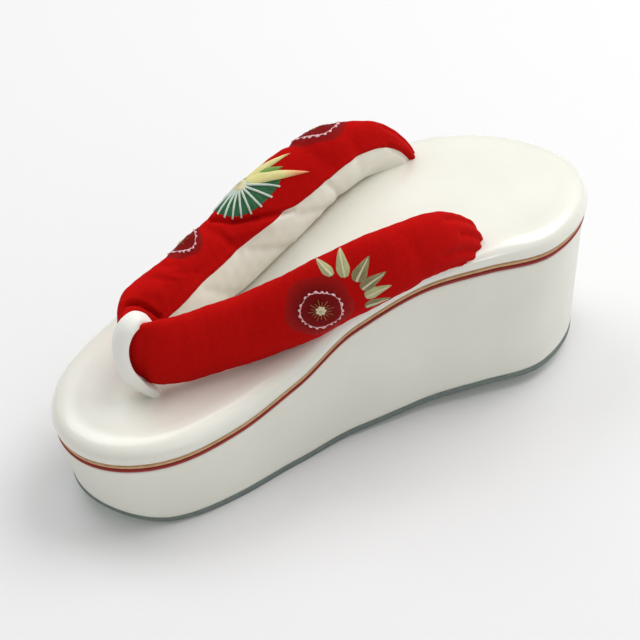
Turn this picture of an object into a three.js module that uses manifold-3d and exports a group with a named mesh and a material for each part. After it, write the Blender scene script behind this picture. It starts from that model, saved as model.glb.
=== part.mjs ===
import * as THREE from 'three';
import { mergeVertices } from 'three/addons/utils/BufferGeometryUtils.js';
import Module from 'manifold-3d';

const wasm = await Module();
wasm.setup();

// Platform zori for the right foot. +X runs to the toe, +Y to the inner side of the foot,
// +Z up from the floor. Sizes are in millimetres.
const SOLE_LENGTH = 230;
const HALF_LENGTH = SOLE_LENGTH / 2;
const SEAM = 0.3;
const OUTSOLE_THICK = 2.7;
const RED_THICK = 1.6;
const GOLD_THICK = 1.5;
const WALL_FLARE = 2.1;
const END_FLARE = 1.2;
const WELT_LIP = 0.5;
const PAD_RISE = 8.2;
const POCKET_DEPTH = 5.5;

const LIFT_THICK = 5;
const LIFT_FRONT = -77;
const LIFT_DEPTH = 32;
const LIFT_HALF = 23.5;
const LIFT_CORNER = 5;
const LIFT_EDGE = 0.9;
const RIB_COUNT = 8;
const RIB_PITCH = 1.4;
const RIB_FIRST = -96.5;
const GROOVE_WIDE = 0.7;
const GROOVE_DEEP = 1.1;
const GROOVE_INSET = 6.5;
const NAIL_RADIUS = 1.6;
const NAIL_LENGTH = 3.2;
const NAIL_SUNK = 0.4;

const SLIT_LONG = 10;
const SLIT_WIDE = 1.8;

const AROUND = 72;
const STRAP_STATIONS = 60;
const STRAP_AROUND = 18;
const POST_STATIONS = 30;
const POST_AROUND = 12;

// Sections of the sole from heel to toe. along: share of half the length. half: half breadth
// before the ends are rounded off. bend: sideways place of the middle. base: underside of the
// outsole above the floor. welt: underside of the red layer above the floor.
const SOLE_SECTIONS = [
  { along: -1.0, half: 58.1, bend: 0.0, base: 5.3, welt: 64.3 },
  { along: -0.75, half: 54.4, bend: -0.4, base: 5.3, welt: 66.1 },
  { along: -0.5, half: 44.8, bend: -3.6, base: 5.3, welt: 67.4 },
  { along: -0.25, half: 39.5, bend: -6.5, base: 3.6, welt: 65.2 },
  { along: 0.0, half: 38.7, bend: -6.8, base: 1.5, welt: 57.1 },
  { along: 0.25, half: 41.4, bend: -3.8, base: 0.0, welt: 43.2 },
  { along: 0.5, half: 46.7, bend: 2.0, base: 0.0, welt: 36.7 },
  { along: 0.75, half: 52.4, bend: 9.1, base: 0.9, welt: 34.2 },
  { along: 1.0, half: 58.6, bend: 13.3, base: 8.2, welt: 32.7 },
];

// Folds of the footbed from its lower edge over the rolled rim to the tread.
// out: beyond the welt outline. up: above the footbed's underside.
const RIM_FOLDS = [
  { out: -0.4, up: 0.0 },
  { out: 1.0, up: 0.7 },
  { out: 1.7, up: 2.6 },
  { out: 1.2, up: 5.2 },
  { out: -0.8, up: 7.4 },
  { out: -4.0, up: 8.5 },
  { out: -8.0, up: 8.7 },
  { out: -12.0, up: 8.4 },
  { out: -24.0, up: 8.2 },
];

// Sections of the strap from the inner anchor round the toe post to the outer anchor.
// along, side: place on the sole. rise: above the tread. lean: degrees that the top edge
// tips to the inside of the fork. width, thick: size of the padded section.
const STRAP_SECTIONS = [
  { along: -57, side: 29.5, rise: -8.0, lean: 14, width: 15, thick: 8 },
  { along: -50, side: 32.0, rise: 2.5, lean: 14, width: 19, thick: 9.5 },
  { along: -36, side: 36.0, rise: 12.0, lean: 14, width: 25, thick: 12.5 },
  { along: -15, side: 38.0, rise: 16.5, lean: 12, width: 29, thick: 14.5 },
  { along: 5, side: 34.5, rise: 17.0, lean: 10, width: 30, thick: 15 },
  { along: 30, side: 26.5, rise: 17.0, lean: 10, width: 30, thick: 15 },
  { along: 55, side: 20.5, rise: 17.0, lean: 8, width: 30, thick: 13.5 },
  { along: 75, side: 17.5, rise: 17.5, lean: 3, width: 30, thick: 10.5 },
  { along: 84, side: 9.5, rise: 19.0, lean: -3, width: 27, thick: 7.5 },
  { along: 77, side: -0.5, rise: 19.5, lean: -15, width: 32, thick: 12.5 },
  { along: 56, side: -9.5, rise: 18.5, lean: -18, width: 33.5, thick: 14.5 },
  { along: 30, side: -19.0, rise: 17.5, lean: -22, width: 34, thick: 15 },
  { along: 5, side: -24.0, rise: 17.5, lean: -24, width: 34, thick: 15.5 },
  { along: -18, side: -28.5, rise: 17.0, lean: -18, width: 32, thick: 15 },
  { along: -38, side: -32.0, rise: 12.0, lean: -6, width: 26, thick: 12.5 },
  { along: -51, side: -34.0, rise: 2.5, lean: 2, width: 19, thick: 9.5 },
  { along: -58, side: -35.0, rise: -8.0, lean: 4, width: 15, thick: 8 },
];

// Course of the toe post from its hole, round the front of the strap and over its top.
// along, side: place on the sole. rise: above the tread. wide, thick: size of the band.
const POST_SECTIONS = [
  { along: 79.0, side: 16.0, rise: -5.5, wide: 6.5, thick: 4.2 },
  { along: 80.0, side: 16.0, rise: -0.5, wide: 6.5, thick: 4.0 },
  { along: 84.5, side: 15.5, rise: 2.8, wide: 7.2, thick: 3.6 },
  { along: 89.4, side: 14.8, rise: 7.5, wide: 8.0, thick: 3.4 },
  { along: 91.6, side: 13.6, rise: 14.0, wide: 9.0, thick: 3.4 },
  { along: 91.8, side: 12.6, rise: 21.0, wide: 9.2, thick: 3.4 },
  { along: 90.4, side: 11.8, rise: 28.0, wide: 9.2, thick: 3.4 },
  { along: 86.5, side: 11.2, rise: 33.4, wide: 8.8, thick: 3.4 },
  { along: 81.0, side: 10.8, rise: 35.0, wide: 8.0, thick: 3.2 },
  { along: 76.0, side: 10.4, rise: 32.5, wide: 6.6, thick: 2.8 },
  { along: 73.0, side: 10.0, rise: 28.5, wide: 5.0, thick: 2.4 },
];

// Places of the lift's nails on the sole.
const NAIL_PLACES = [
  { along: -81.5, side: -18.5 },
  { along: -81.5, side: 0 },
  { along: -81.5, side: 18.5 },
  { along: -97.0, side: -14.5 },
  { along: -97.0, side: 14.5 },
  { along: -105.0, side: 0 },
];

// Slits of the outsole through which the strap ends are drawn.
const SLIT_PLACES = [
  { along: 58, side: 17 },
  { along: -62, side: 20 },
  { along: -62, side: -20 },
];

// Value of a table column between its rows, eased so that it never overshoots a row.
function readColumn(rows, key, column, at) {
  const last = rows.length - 1;
  const place = Math.min(Math.max(at, rows[0][key]), rows[last][key]);
  let k = 0;
  while (k < last - 1 && place > rows[k + 1][key]) {
    k += 1;
  }
  const pitch = (i) => (rows[i + 1][column] - rows[i][column]) / (rows[i + 1][key] - rows[i][key]);
  const slope = (i) => {
    if (i === 0 || i === last) {
      return pitch(i === 0 ? 0 : last - 1);
    }
    const before = pitch(i - 1);
    const after = pitch(i);
    return before * after <= 0 ? 0 : (2 * before * after) / (before + after);
  };
  const span = rows[k + 1][key] - rows[k][key];
  const u = (place - rows[k][key]) / span;
  const rise = u * u * (3 - 2 * u);
  const leave = u * (1 - u) * (1 - u) * span;
  const arrive = u * u * (u - 1) * span;
  const from = rows[k][column];
  const step = rows[k + 1][column] - from;
  return from + step * rise + slope(k) * leave + slope(k + 1) * arrive;
}

const soleValue = (column, x) => readColumn(SOLE_SECTIONS, 'along', column, x / HALF_LENGTH);
const baseHeight = (x) => soleValue('base', x);
const weltHeight = (x) => soleValue('welt', x);
const footbedUnder = (x) => weltHeight(x) + RED_THICK + GOLD_THICK + 2 * SEAM;
const treadHeight = (x) => footbedUnder(x) + PAD_RISE;
const soleEdge = () => 0;
const flareAt = (share) => WALL_FLARE + END_FLARE * share * share;

// Point of the sole outline at a turn from the toe tip toward the inner side.
function outlinePoint(turn) {
  const share = Math.cos(turn);
  const x = HALF_LENGTH * share;
  return new THREE.Vector2(x, Math.sin(turn) * soleValue('half', x) + soleValue('bend', x));
}

// One closed ring round the sole, moved outward by a function of the share along it.
function ring(out, height) {
  const points = [];
  for (let i = 0; i < AROUND; i += 1) {
    const turn = (i / AROUND) * Math.PI * 2;
    const p = outlinePoint(turn);
    const way = outlinePoint(turn + 0.01).sub(outlinePoint(turn - 0.01)).normalize();
    const move = out(Math.cos(turn));
    const x = p.x + way.y * move;
    points.push(new THREE.Vector3(x, p.y - way.x * move, height(x)));
  }
  return points;
}

// Middle line of the sole, held back from both ends, as a ring that lies on itself.
function spine(height) {
  const points = [];
  for (let i = 0; i < AROUND; i += 1) {
    const share = Math.cos((i / AROUND) * Math.PI * 2);
    const x = HALF_LENGTH * Math.min(Math.max(share, -0.68), 0.68);
    points.push(new THREE.Vector3(x, soleValue('bend', x), height(x)));
  }
  return points;
}

// Geometry with equal corners joined and flat leftovers dropped.
function weld(positions, corners) {
  const loose = new THREE.BufferGeometry();
  loose.setAttribute('position', new THREE.Float32BufferAttribute(positions, 3));
  loose.setIndex(corners);
  const joined = mergeVertices(loose, 1e-4);
  const old = joined.index.array;
  const kept = [];
  for (let i = 0; i < old.length; i += 3) {
    const [a, b, c] = [old[i], old[i + 1], old[i + 2]];
    if (a !== b && b !== c && c !== a) {
      kept.push(a, b, c);
    }
  }
  joined.setIndex(kept);
  return joined;
}

// Closed surface through rings of equal count, from the underside to the top. The squares of
// the upper half are halved the other way, so that faces laid on each other match.
function joinRings(rings) {
  const count = rings[0].length;
  const positions = rings.flat().flatMap((p) => [p.x, p.y, p.z]);
  const corners = [];
  for (let k = 0; k < rings.length - 1; k += 1) {
    for (let i = 0; i < count; i += 1) {
      const a = k * count + i;
      const b = k * count + ((i + 1) % count);
      if (k < rings.length / 2 - 1) {
        corners.push(a, b, b + count, a, b + count, a + count);
      } else {
        corners.push(a, b, a + count, b, b + count, a + count);
      }
    }
  }
  return weld(positions, corners);
}

function solidOf(geometry) {
  const plain = geometry.clone();
  plain.deleteAttribute('normal');
  plain.deleteAttribute('uv');
  const joined = mergeVertices(plain, 1e-4);
  const vertProperties = new Float32Array(joined.attributes.position.array);
  const triVerts = new Uint32Array(joined.index.array);
  return new wasm.Manifold(new wasm.Mesh({ numProp: 3, vertProperties, triVerts }));
}

function geometryOf(solid) {
  const mesh = solid.getMesh();
  const geometry = new THREE.BufferGeometry();
  geometry.setAttribute('position', new THREE.Float32BufferAttribute(mesh.vertProperties, 3));
  geometry.setIndex(Array.from(mesh.triVerts));
  geometry.computeVertexNormals();
  return geometry;
}

// Layer of the sole between two heights. Its faces are laid out on the plain outline of their
// level, so that faces of neighbours keep one clearance; the lip moves its side alone.
function layer(lowOut, lowHeight, topOut, topHeight, lip) {
  const moved = (out, by) => (share) => out(share) + by;
  return solidOf(joinRings([
    spine(lowHeight),
    ring(moved(lowOut, -24), lowHeight),
    ring(moved(lowOut, -12), lowHeight),
    ring(moved(lowOut, lip), lowHeight),
    ring(moved(topOut, lip), topHeight),
    ring(moved(topOut, -12), topHeight),
    ring(moved(topOut, -24), topHeight),
    spine(topHeight),
  ]));
}

function outsoleSolid() {
  const slab = layer(soleEdge, baseHeight, soleEdge, (x) => baseHeight(x) + OUTSOLE_THICK, 0);
  return SLIT_PLACES.reduce((rest, place) => {
    const slit = new THREE.BoxGeometry(SLIT_LONG, SLIT_WIDE, 30);
    slit.translate(place.along, place.side, 0);
    return rest.subtract(solidOf(slit));
  }, slab);
}

function platformSolid() {
  const under = (x) => baseHeight(x) + OUTSOLE_THICK + SEAM;
  return layer(soleEdge, under, flareAt, (x) => weltHeight(x) - SEAM, 0);
}

function weltSolid(gap, thick) {
  const low = (x) => weltHeight(x) + gap;
  return layer(flareAt, low, flareAt, (x) => low(x) + thick, WELT_LIP);
}

function footbedSolid() {
  const rim = RIM_FOLDS.map((fold) => {
    const out = (share) => flareAt(share) + fold.out;
    return ring(out, (x) => footbedUnder(x) + fold.up);
  });
  const lower = [24, 12].map((by) => ring((share) => flareAt(share) - by, footbedUnder));
  return solidOf(joinRings([spine(footbedUnder), ...lower, ...rim, spine(treadHeight)]));
}

// Padded strap grown by a clearance, its ends cut level below the tread.
function strapSolid(grow) {
  const rows = STRAP_SECTIONS.map((row, index) => ({ index, ...row }));
  const last = rows.length - 1;
  const course = new THREE.CatmullRomCurve3(rows.map(
    (row) => new THREE.Vector3(row.along, row.side, treadHeight(row.along) + row.rise),
  ));
  const up = new THREE.Vector3(0, 0, 1);
  const rings = [];
  for (let k = 0; k <= STRAP_STATIONS; k += 1) {
    const t = k / STRAP_STATIONS;
    const value = (column) => readColumn(rows, 'index', column, t * last);
    const middle = course.getPoint(t);
    const way = course.getTangent(t);
    const inward = way.clone().cross(up).normalize();
    const lean = THREE.MathUtils.degToRad(value('lean'));
    const across = up.clone().multiplyScalar(Math.cos(lean)).addScaledVector(inward, Math.sin(lean));
    across.addScaledVector(way, -across.dot(way)).normalize();
    const inside = way.clone().cross(across);
    const section = [];
    for (let i = 0; i < STRAP_AROUND; i += 1) {
      const turn = (i / STRAP_AROUND) * Math.PI * 2;
      const high = Math.cos(turn) * (value('width') / 2 + grow);
      const deep = Math.sin(turn) * (value('thick') / 2 + grow);
      section.push(middle.clone().addScaledVector(across, high).addScaledVector(inside, deep));
    }
    rings.push(section);
  }
  const tube = solidOf(joinRings(closeEnds(rings)));
  const floor = (x) => treadHeight(x) - POCKET_DEPTH - grow;
  return tube.subtract(layer(flareAt, (x) => floor(x) - 60, flareAt, floor, 0));
}

// Rings with a ring of one point added at each end.
function closeEnds(rings) {
  const centre = (points) => {
    const middle = new THREE.Vector3();
    points.forEach((p) => middle.addScaledVector(p, 1 / points.length));
    return points.map(() => middle);
  };
  return [centre(rings[0]), ...rings, centre(rings[rings.length - 1])];
}

// Band of the toe post grown by a clearance.
function postSolid(grow) {
  const rows = POST_SECTIONS.map((row, index) => ({ index, ...row }));
  const last = rows.length - 1;
  const course = new THREE.CatmullRomCurve3(rows.map(
    (row) => new THREE.Vector3(row.along, row.side, treadHeight(row.along) + row.rise),
  ));
  const sideways = new THREE.Vector3(0, 1, 0);
  const rings = [];
  for (let k = 0; k <= POST_STATIONS; k += 1) {
    const t = k / POST_STATIONS;
    const value = (column) => readColumn(rows, 'index', column, t * last);
    const middle = course.getPoint(t);
    const way = course.getTangent(t);
    const flat = sideways.clone().addScaledVector(way, -sideways.dot(way)).normalize();
    const inside = way.clone().cross(flat);
    const section = [];
    for (let i = 0; i < POST_AROUND; i += 1) {
      const turn = (i / POST_AROUND) * Math.PI * 2;
      const high = Math.cos(turn) * (value('wide') / 2 + grow);
      const deep = Math.sin(turn) * (value('thick') / 2 + grow);
      section.push(middle.clone().addScaledVector(flat, high).addScaledVector(inside, deep));
    }
    rings.push(section);
  }
  return solidOf(joinRings(closeEnds(rings)));
}

// Half-moon outline of the heel lift, drawn smaller by its rounded edge.
function liftShape() {
  const half = LIFT_HALF - LIFT_EDGE;
  const front = LIFT_FRONT - LIFT_EDGE;
  const depth = LIFT_DEPTH - 2 * LIFT_EDGE;
  const shape = new THREE.Shape();
  shape.moveTo(front, -half + LIFT_CORNER);
  shape.lineTo(front, half - LIFT_CORNER);
  shape.quadraticCurveTo(front, half, front - LIFT_CORNER, half);
  shape.bezierCurveTo(front - 16, half, front - depth, half * 0.62, front - depth, 0);
  shape.bezierCurveTo(front - depth, -half * 0.62, front - 16, -half, front - LIFT_CORNER, -half);
  shape.quadraticCurveTo(front, -half, front, -half + LIFT_CORNER);
  return shape;
}

function nailGeometry(radius, low, high) {
  const nail = new THREE.CylinderGeometry(radius, radius, high - low, 16);
  nail.rotateX(Math.PI / 2);
  nail.translate(0, 0, (low + high) / 2);
  return nail;
}

function liftSolid() {
  const block = new THREE.ExtrudeGeometry(liftShape(), {
    depth: LIFT_THICK - 2 * LIFT_EDGE,
    bevelThickness: LIFT_EDGE,
    bevelSize: LIFT_EDGE,
    bevelSegments: 2,
    curveSegments: 9,
  });
  block.translate(0, 0, LIFT_EDGE);
  let lift = solidOf(block);
  for (let i = 0; i < RIB_COUNT; i += 1) {
    const along = RIB_FIRST - i * RIB_PITCH;
    const reach = (along - LIFT_FRONT) / LIFT_DEPTH;
    const long = 2 * (LIFT_HALF * Math.sqrt(1 - reach * reach) - GROOVE_INSET);
    const groove = new THREE.BoxGeometry(GROOVE_WIDE, long, 2 * GROOVE_DEEP);
    groove.translate(along, 0, 0);
    lift = lift.subtract(solidOf(groove));
  }
  NAIL_PLACES.forEach((place) => {
    const bore = nailGeometry(NAIL_RADIUS + SEAM, -1, NAIL_SUNK + NAIL_LENGTH + SEAM);
    bore.translate(place.along, place.side, 0);
    lift = lift.subtract(solidOf(bore));
  });
  return lift;
}

function addPiece(group, name, geometry, finish) {
  const piece = new THREE.Mesh(geometry, new THREE.MeshStandardMaterial(finish));
  piece.name = name;
  group.add(piece);
}

const sandal = new THREE.Group();
sandal.name = 'zori_sandal';

const strapRoom = strapSolid(SEAM);
const strap = strapSolid(0);
const post = postSolid(0).subtract(strapRoom);
const footbed = footbedSolid().subtract(strapRoom).subtract(postSolid(SEAM));
const goldGap = RED_THICK + SEAM;

addPiece(sandal, 'outsole', geometryOf(outsoleSolid()), { color: 0xd4e0d3, roughness: 0.6, metalness: 0 });
addPiece(sandal, 'platform', geometryOf(platformSolid()), { color: 0xe9e6dc, roughness: 0.4, metalness: 0 });
addPiece(
  sandal,
  'red_welt',
  geometryOf(weltSolid(0, RED_THICK)),
  { color: 0x8c1713, roughness: 0.4, metalness: 0 },
);
addPiece(
  sandal,
  'gold_welt',
  geometryOf(weltSolid(goldGap, GOLD_THICK)),
  { color: 0xb99b73, roughness: 0.35, metalness: 0.4 },
);
addPiece(sandal, 'footbed', geometryOf(footbed), { color: 0xece9e0, roughness: 0.35, metalness: 0 });
addPiece(sandal, 'strap', geometryOf(strap), { color: 0xb80f0d, roughness: 0.8, metalness: 0 });
addPiece(sandal, 'toe_post', geometryOf(post), { color: 0xebe7de, roughness: 0.5, metalness: 0 });
addPiece(sandal, 'heel_lift', geometryOf(liftSolid()), { color: 0xe1aa5a, roughness: 0.6, metalness: 0 });
NAIL_PLACES.forEach((place, index) => {
  const nail = nailGeometry(NAIL_RADIUS, NAIL_SUNK, NAIL_SUNK + NAIL_LENGTH);
  nail.translate(place.along, place.side, 0);
  addPiece(sandal, `heel_nail_${index + 1}`, nail, { color: 0x3c2a28, roughness: 0.45, metalness: 0.8 });
});

// The sandal stands with the middle of its outer box over the origin.
const middle = new THREE.Box3().setFromObject(sandal).getCenter(new THREE.Vector3());
sandal.children.forEach((piece) => piece.geometry.translate(-middle.x, -middle.y, 0));

export default sandal;
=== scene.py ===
"""Dressed platform zori for the right foot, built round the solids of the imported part.

+X runs to the toe, +Y to the inner side of the foot, +Z up from the floor. Sizes are in
millimetres until a mesh is made.
"""

import logging
import math
from dataclasses import dataclass
from enum import Enum
from typing import Any, Callable, ClassVar, Sequence

import bmesh
import bpy
import numpy as np
from mathutils import Matrix, Vector


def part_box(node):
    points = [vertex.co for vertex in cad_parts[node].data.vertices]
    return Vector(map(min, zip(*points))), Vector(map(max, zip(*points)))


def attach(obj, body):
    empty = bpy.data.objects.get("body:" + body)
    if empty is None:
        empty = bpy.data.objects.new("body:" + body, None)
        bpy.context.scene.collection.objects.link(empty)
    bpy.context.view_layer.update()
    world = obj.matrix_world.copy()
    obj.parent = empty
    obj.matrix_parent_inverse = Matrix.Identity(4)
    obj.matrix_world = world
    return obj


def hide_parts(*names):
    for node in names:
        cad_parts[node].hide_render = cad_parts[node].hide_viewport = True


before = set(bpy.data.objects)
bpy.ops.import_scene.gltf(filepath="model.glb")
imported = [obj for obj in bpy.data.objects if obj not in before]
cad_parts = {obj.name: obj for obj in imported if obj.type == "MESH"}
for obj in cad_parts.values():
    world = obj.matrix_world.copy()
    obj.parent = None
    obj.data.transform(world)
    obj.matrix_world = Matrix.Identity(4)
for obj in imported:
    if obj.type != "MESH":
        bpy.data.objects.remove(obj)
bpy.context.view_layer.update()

LOG = logging.getLogger("zori")
MM = 0.001
BODY = "root"
WELD_M = 2e-6
SPECK_M = 1e-6
COURSE_STEP = 1e-4
CLOUD_DETAIL = 3.0
GRAIN_DETAIL = 4.0
Array = np.ndarray
Span = tuple[float, float]
Triple = tuple[float, float, float]
Colour = Triple
Height = Callable[[Array], Array]


# Tables and courses


class Table:
    """Short table of named columns, read between its rows by an eased cubic that never overshoots."""

    def __init__(self, names: str, *rows: Sequence[float], by_row: bool = False) -> None:
        """Keep the rows under their column names.

        Args:
            names: column names, parted by spaces; the first is the key.
            rows: one sequence of numbers for each row.
            by_row: whether the key is the row's number instead of the first column.
        """
        self.names = names.split()
        self.cells = np.array(rows, float)
        self.keys = np.arange(len(rows), dtype=float) if by_row else self.cells[:, 0]

    def column(self, name: str) -> Array:
        """Return one column as an array."""
        return self.cells[:, self.names.index(name)]

    def read(self, name: str, at: Array) -> Array:
        """Read a column between its rows.

        Each span is a cubic whose end slopes are the harmonic means of the neighbouring pitches,
        or level where the pitches change sign.

        Args:
            name: the column.
            at: keys at which it is read, of any shape.

        Returns:
            The values, of the same shape.
        """
        cells, steps = self.column(name), np.diff(self.keys)
        pitch = np.diff(cells) / steps
        before, after = pitch[:-1], pitch[1:]
        total = np.where(before + after == 0, 1.0, before + after)
        inner = np.where(before * after <= 0, 0.0, 2 * before * after / total)
        slope = np.concatenate(([pitch[0]], inner, [pitch[-1]]))
        place = np.clip(at, self.keys[0], self.keys[-1])
        k = np.clip(np.searchsorted(self.keys, place) - 1, 0, len(steps) - 1)
        u = (place - self.keys[k]) / steps[k]
        eased = cells[k] + (cells[k + 1] - cells[k]) * u * u * (3 - 2 * u)
        leave = slope[k] * u * (1 - u) ** 2 * steps[k]
        arrive = slope[k + 1] * u * u * (u - 1) * steps[k]
        return eased + leave + arrive


def smooth_course(points: Array, share: Array) -> Array:
    """Points of a centripetal Catmull-Rom curve through knots.

    Each span is a cubic whose end tangents follow the square roots of the knot distances.

    Args:
        points: knots, one row each.
        share: share of the whole course, from 0 to 1, one number for each point wanted.

    Returns:
        One row for each share.
    """
    last = len(points) - 1
    place = last * np.clip(share, 0, 1)
    i = np.clip(np.floor(place).astype(int), 0, last - 1)
    w = (place - i)[:, None]
    padded = np.concatenate(([2 * points[0] - points[1]], points, [2 * points[-1] - points[-2]]))
    p0, p1, p2, p3 = (padded[i + k] for k in range(4))
    d0, d1, d2 = (
        np.sqrt(np.linalg.norm(b - a, axis=1))[:, None] for a, b in ((p0, p1), (p1, p2), (p2, p3))
    )
    leave = ((p1 - p0) / d0 - (p2 - p0) / (d0 + d1) + (p2 - p1) / d1) * d1
    arrive = ((p2 - p1) / d1 - (p3 - p1) / (d1 + d2) + (p3 - p2) / d2) * d1
    square = -3 * p1 + 3 * p2 - 2 * leave - arrive
    cube = 2 * p1 - 2 * p2 + leave + arrive
    return p1 + leave * w + square * w ** 2 + cube * w ** 3


def course_way(points: Array, share: Array) -> Array:
    """Return the unit tangents of a smooth course."""
    return unit(smooth_course(points, share + COURSE_STEP) - smooth_course(points, share - COURSE_STEP))


def unit(vectors: Array) -> Array:
    """Return the vectors at length one."""
    return vectors / np.maximum(np.linalg.norm(vectors, axis=-1, keepdims=True), 1e-12)


def ease(low: float, high: float, value: Array) -> Array:
    """Return 0 below low, 1 above high and a smooth step between them."""
    u = np.clip((value - low) / (high - low), 0, 1)
    return u * u * (3 - 2 * u)


def bell(apart: Array, wide: float) -> Array:
    """Return a bell that is 1 in its middle and falls off over that width."""
    return np.exp(-((apart / wide) ** 2))


# Meshes


# Places of the heel lift's nails on the sole.
NAIL_PLACES = Table(
    "along side",
    (-81.5, -18.5), (-81.5, 0.0), (-81.5, 18.5), (-97.0, -14.5), (-97.0, 14.5), (-105.0, 0.0),
)


def frame_shift() -> Array:
    """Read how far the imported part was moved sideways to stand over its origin.

    Returns:
        The distance of the second nail from its place on the sole, in millimetres.
    """
    low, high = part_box("heel_nail_2")
    along, side = NAIL_PLACES.cells[1]
    return np.array([(low.x + high.x) / 2 / MM - along, (low.y + high.y) / 2 / MM - side, 0.0])


SHIFT = frame_shift()


@dataclass
class Grid:
    """Surface points in rows and columns, in millimetres, with what its mesh needs to know."""

    points: Array
    round_columns: bool = False
    uv: Array | None = None
    finish: int = 0

    def quads(self, start: int) -> Array:
        """Corner numbers of the grid's quads.

        Args:
            start: number of the grid's first point.

        Returns:
            One row of four numbers for each quad.
        """
        rows, columns = self.points.shape[:2]
        index = start + np.arange(rows * columns).reshape(rows, columns)
        if self.round_columns:
            index = np.concatenate([index, index[:, :1]], axis=1)
        corners = (index[:-1, :-1], index[:-1, 1:], index[1:, 1:], index[1:, :-1])
        return np.stack(corners, axis=-1).reshape(-1, 4)


def make_mesh(name: str, grids: Sequence[Grid], closed: bool = True) -> bpy.types.Mesh:
    """Join grids into one mesh.

    Args:
        name: the mesh's name.
        grids: surfaces that are joined.
        closed: whether they make a closed shell, which is welded and its faces turned outwards.

    Returns:
        A smooth-shaded mesh in metres, in the part's own frame.
    """
    points, faces, finishes, uvs, start = [], [], [], [], 0
    for grid in grids:
        quads = grid.quads(start)
        points.append(grid.points.reshape(-1, 3))
        faces.append(quads)
        finishes.append(np.full(len(quads), grid.finish, np.int32))
        uv = np.zeros(grid.points.shape[:2] + (2,)) if grid.uv is None else grid.uv
        uvs.append(uv.reshape(-1, 2)[quads.reshape(-1) - start])
        start += len(points[-1])
    mesh = bpy.data.meshes.new(name)
    corners = (np.concatenate(points) + SHIFT) * MM
    mesh.from_pydata(corners.tolist(), [], np.concatenate(faces).tolist())
    mesh.polygons.foreach_set("material_index", np.concatenate(finishes))
    layer = mesh.uv_layers.new(name="UVMap")
    layer.data.foreach_set("uv", np.concatenate(uvs).astype(np.float32).ravel())
    if closed:
        shape = bmesh.new()
        shape.from_mesh(mesh)
        bmesh.ops.remove_doubles(shape, verts=shape.verts, dist=WELD_M)
        bmesh.ops.dissolve_degenerate(shape, edges=shape.edges, dist=SPECK_M)
        bmesh.ops.recalc_face_normals(shape, faces=shape.faces)
        shape.to_mesh(mesh)
        shape.free()
    mesh.polygons.foreach_set("use_smooth", np.ones(len(mesh.polygons), bool))
    return mesh


def place_piece(
    name: str,
    mesh: bpy.types.Mesh,
    finishes: Sequence["Finish"],
    replaces: Sequence[str] = (),
    sharp: float | None = None,
) -> bpy.types.Object:
    """Put a mesh into the scene as a piece of the sandal.

    Args:
        name: the piece's name.
        mesh: its mesh, in place.
        finishes: its materials, in the order of the mesh's finish numbers.
        replaces: solids that it stands for.
        sharp: angle in degrees past which an edge is shaded sharp, or none.

    Returns:
        The piece.
    """
    piece = bpy.data.objects.new(name, mesh)
    bpy.context.scene.collection.objects.link(piece)
    for finish in finishes:
        mesh.materials.append(finish.material())
    if sharp is not None:
        mesh.set_sharp_from_angle(angle=math.radians(sharp))
    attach(piece, BODY)
    if replaces:
        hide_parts(*replaces)
    LOG.info("%s: %d faces", name, len(mesh.polygons))
    return piece


# Shader trees


class Field:
    """Number that changes over a surface: one socket, on which arithmetic adds Math nodes."""

    def __init__(self, tree: "Shader", socket: bpy.types.NodeSocket) -> None:
        """Wrap an output socket of a tree."""
        self.tree, self.socket = tree, socket

    def __add__(self, other: Any) -> "Field":
        """Return the sum."""
        return self.tree.math("ADD", self, other)

    def __radd__(self, other: Any) -> "Field":
        """Return the sum, the other value first."""
        return self.tree.math("ADD", other, self)

    def __sub__(self, other: Any) -> "Field":
        """Return the difference."""
        return self.tree.math("SUBTRACT", self, other)

    def __rsub__(self, other: Any) -> "Field":
        """Return the other value less this one."""
        return self.tree.math("SUBTRACT", other, self)

    def __mul__(self, other: Any) -> "Field":
        """Return the product."""
        return self.tree.math("MULTIPLY", self, other)

    def __rmul__(self, other: Any) -> "Field":
        """Return the product, the other value first."""
        return self.tree.math("MULTIPLY", other, self)


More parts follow.
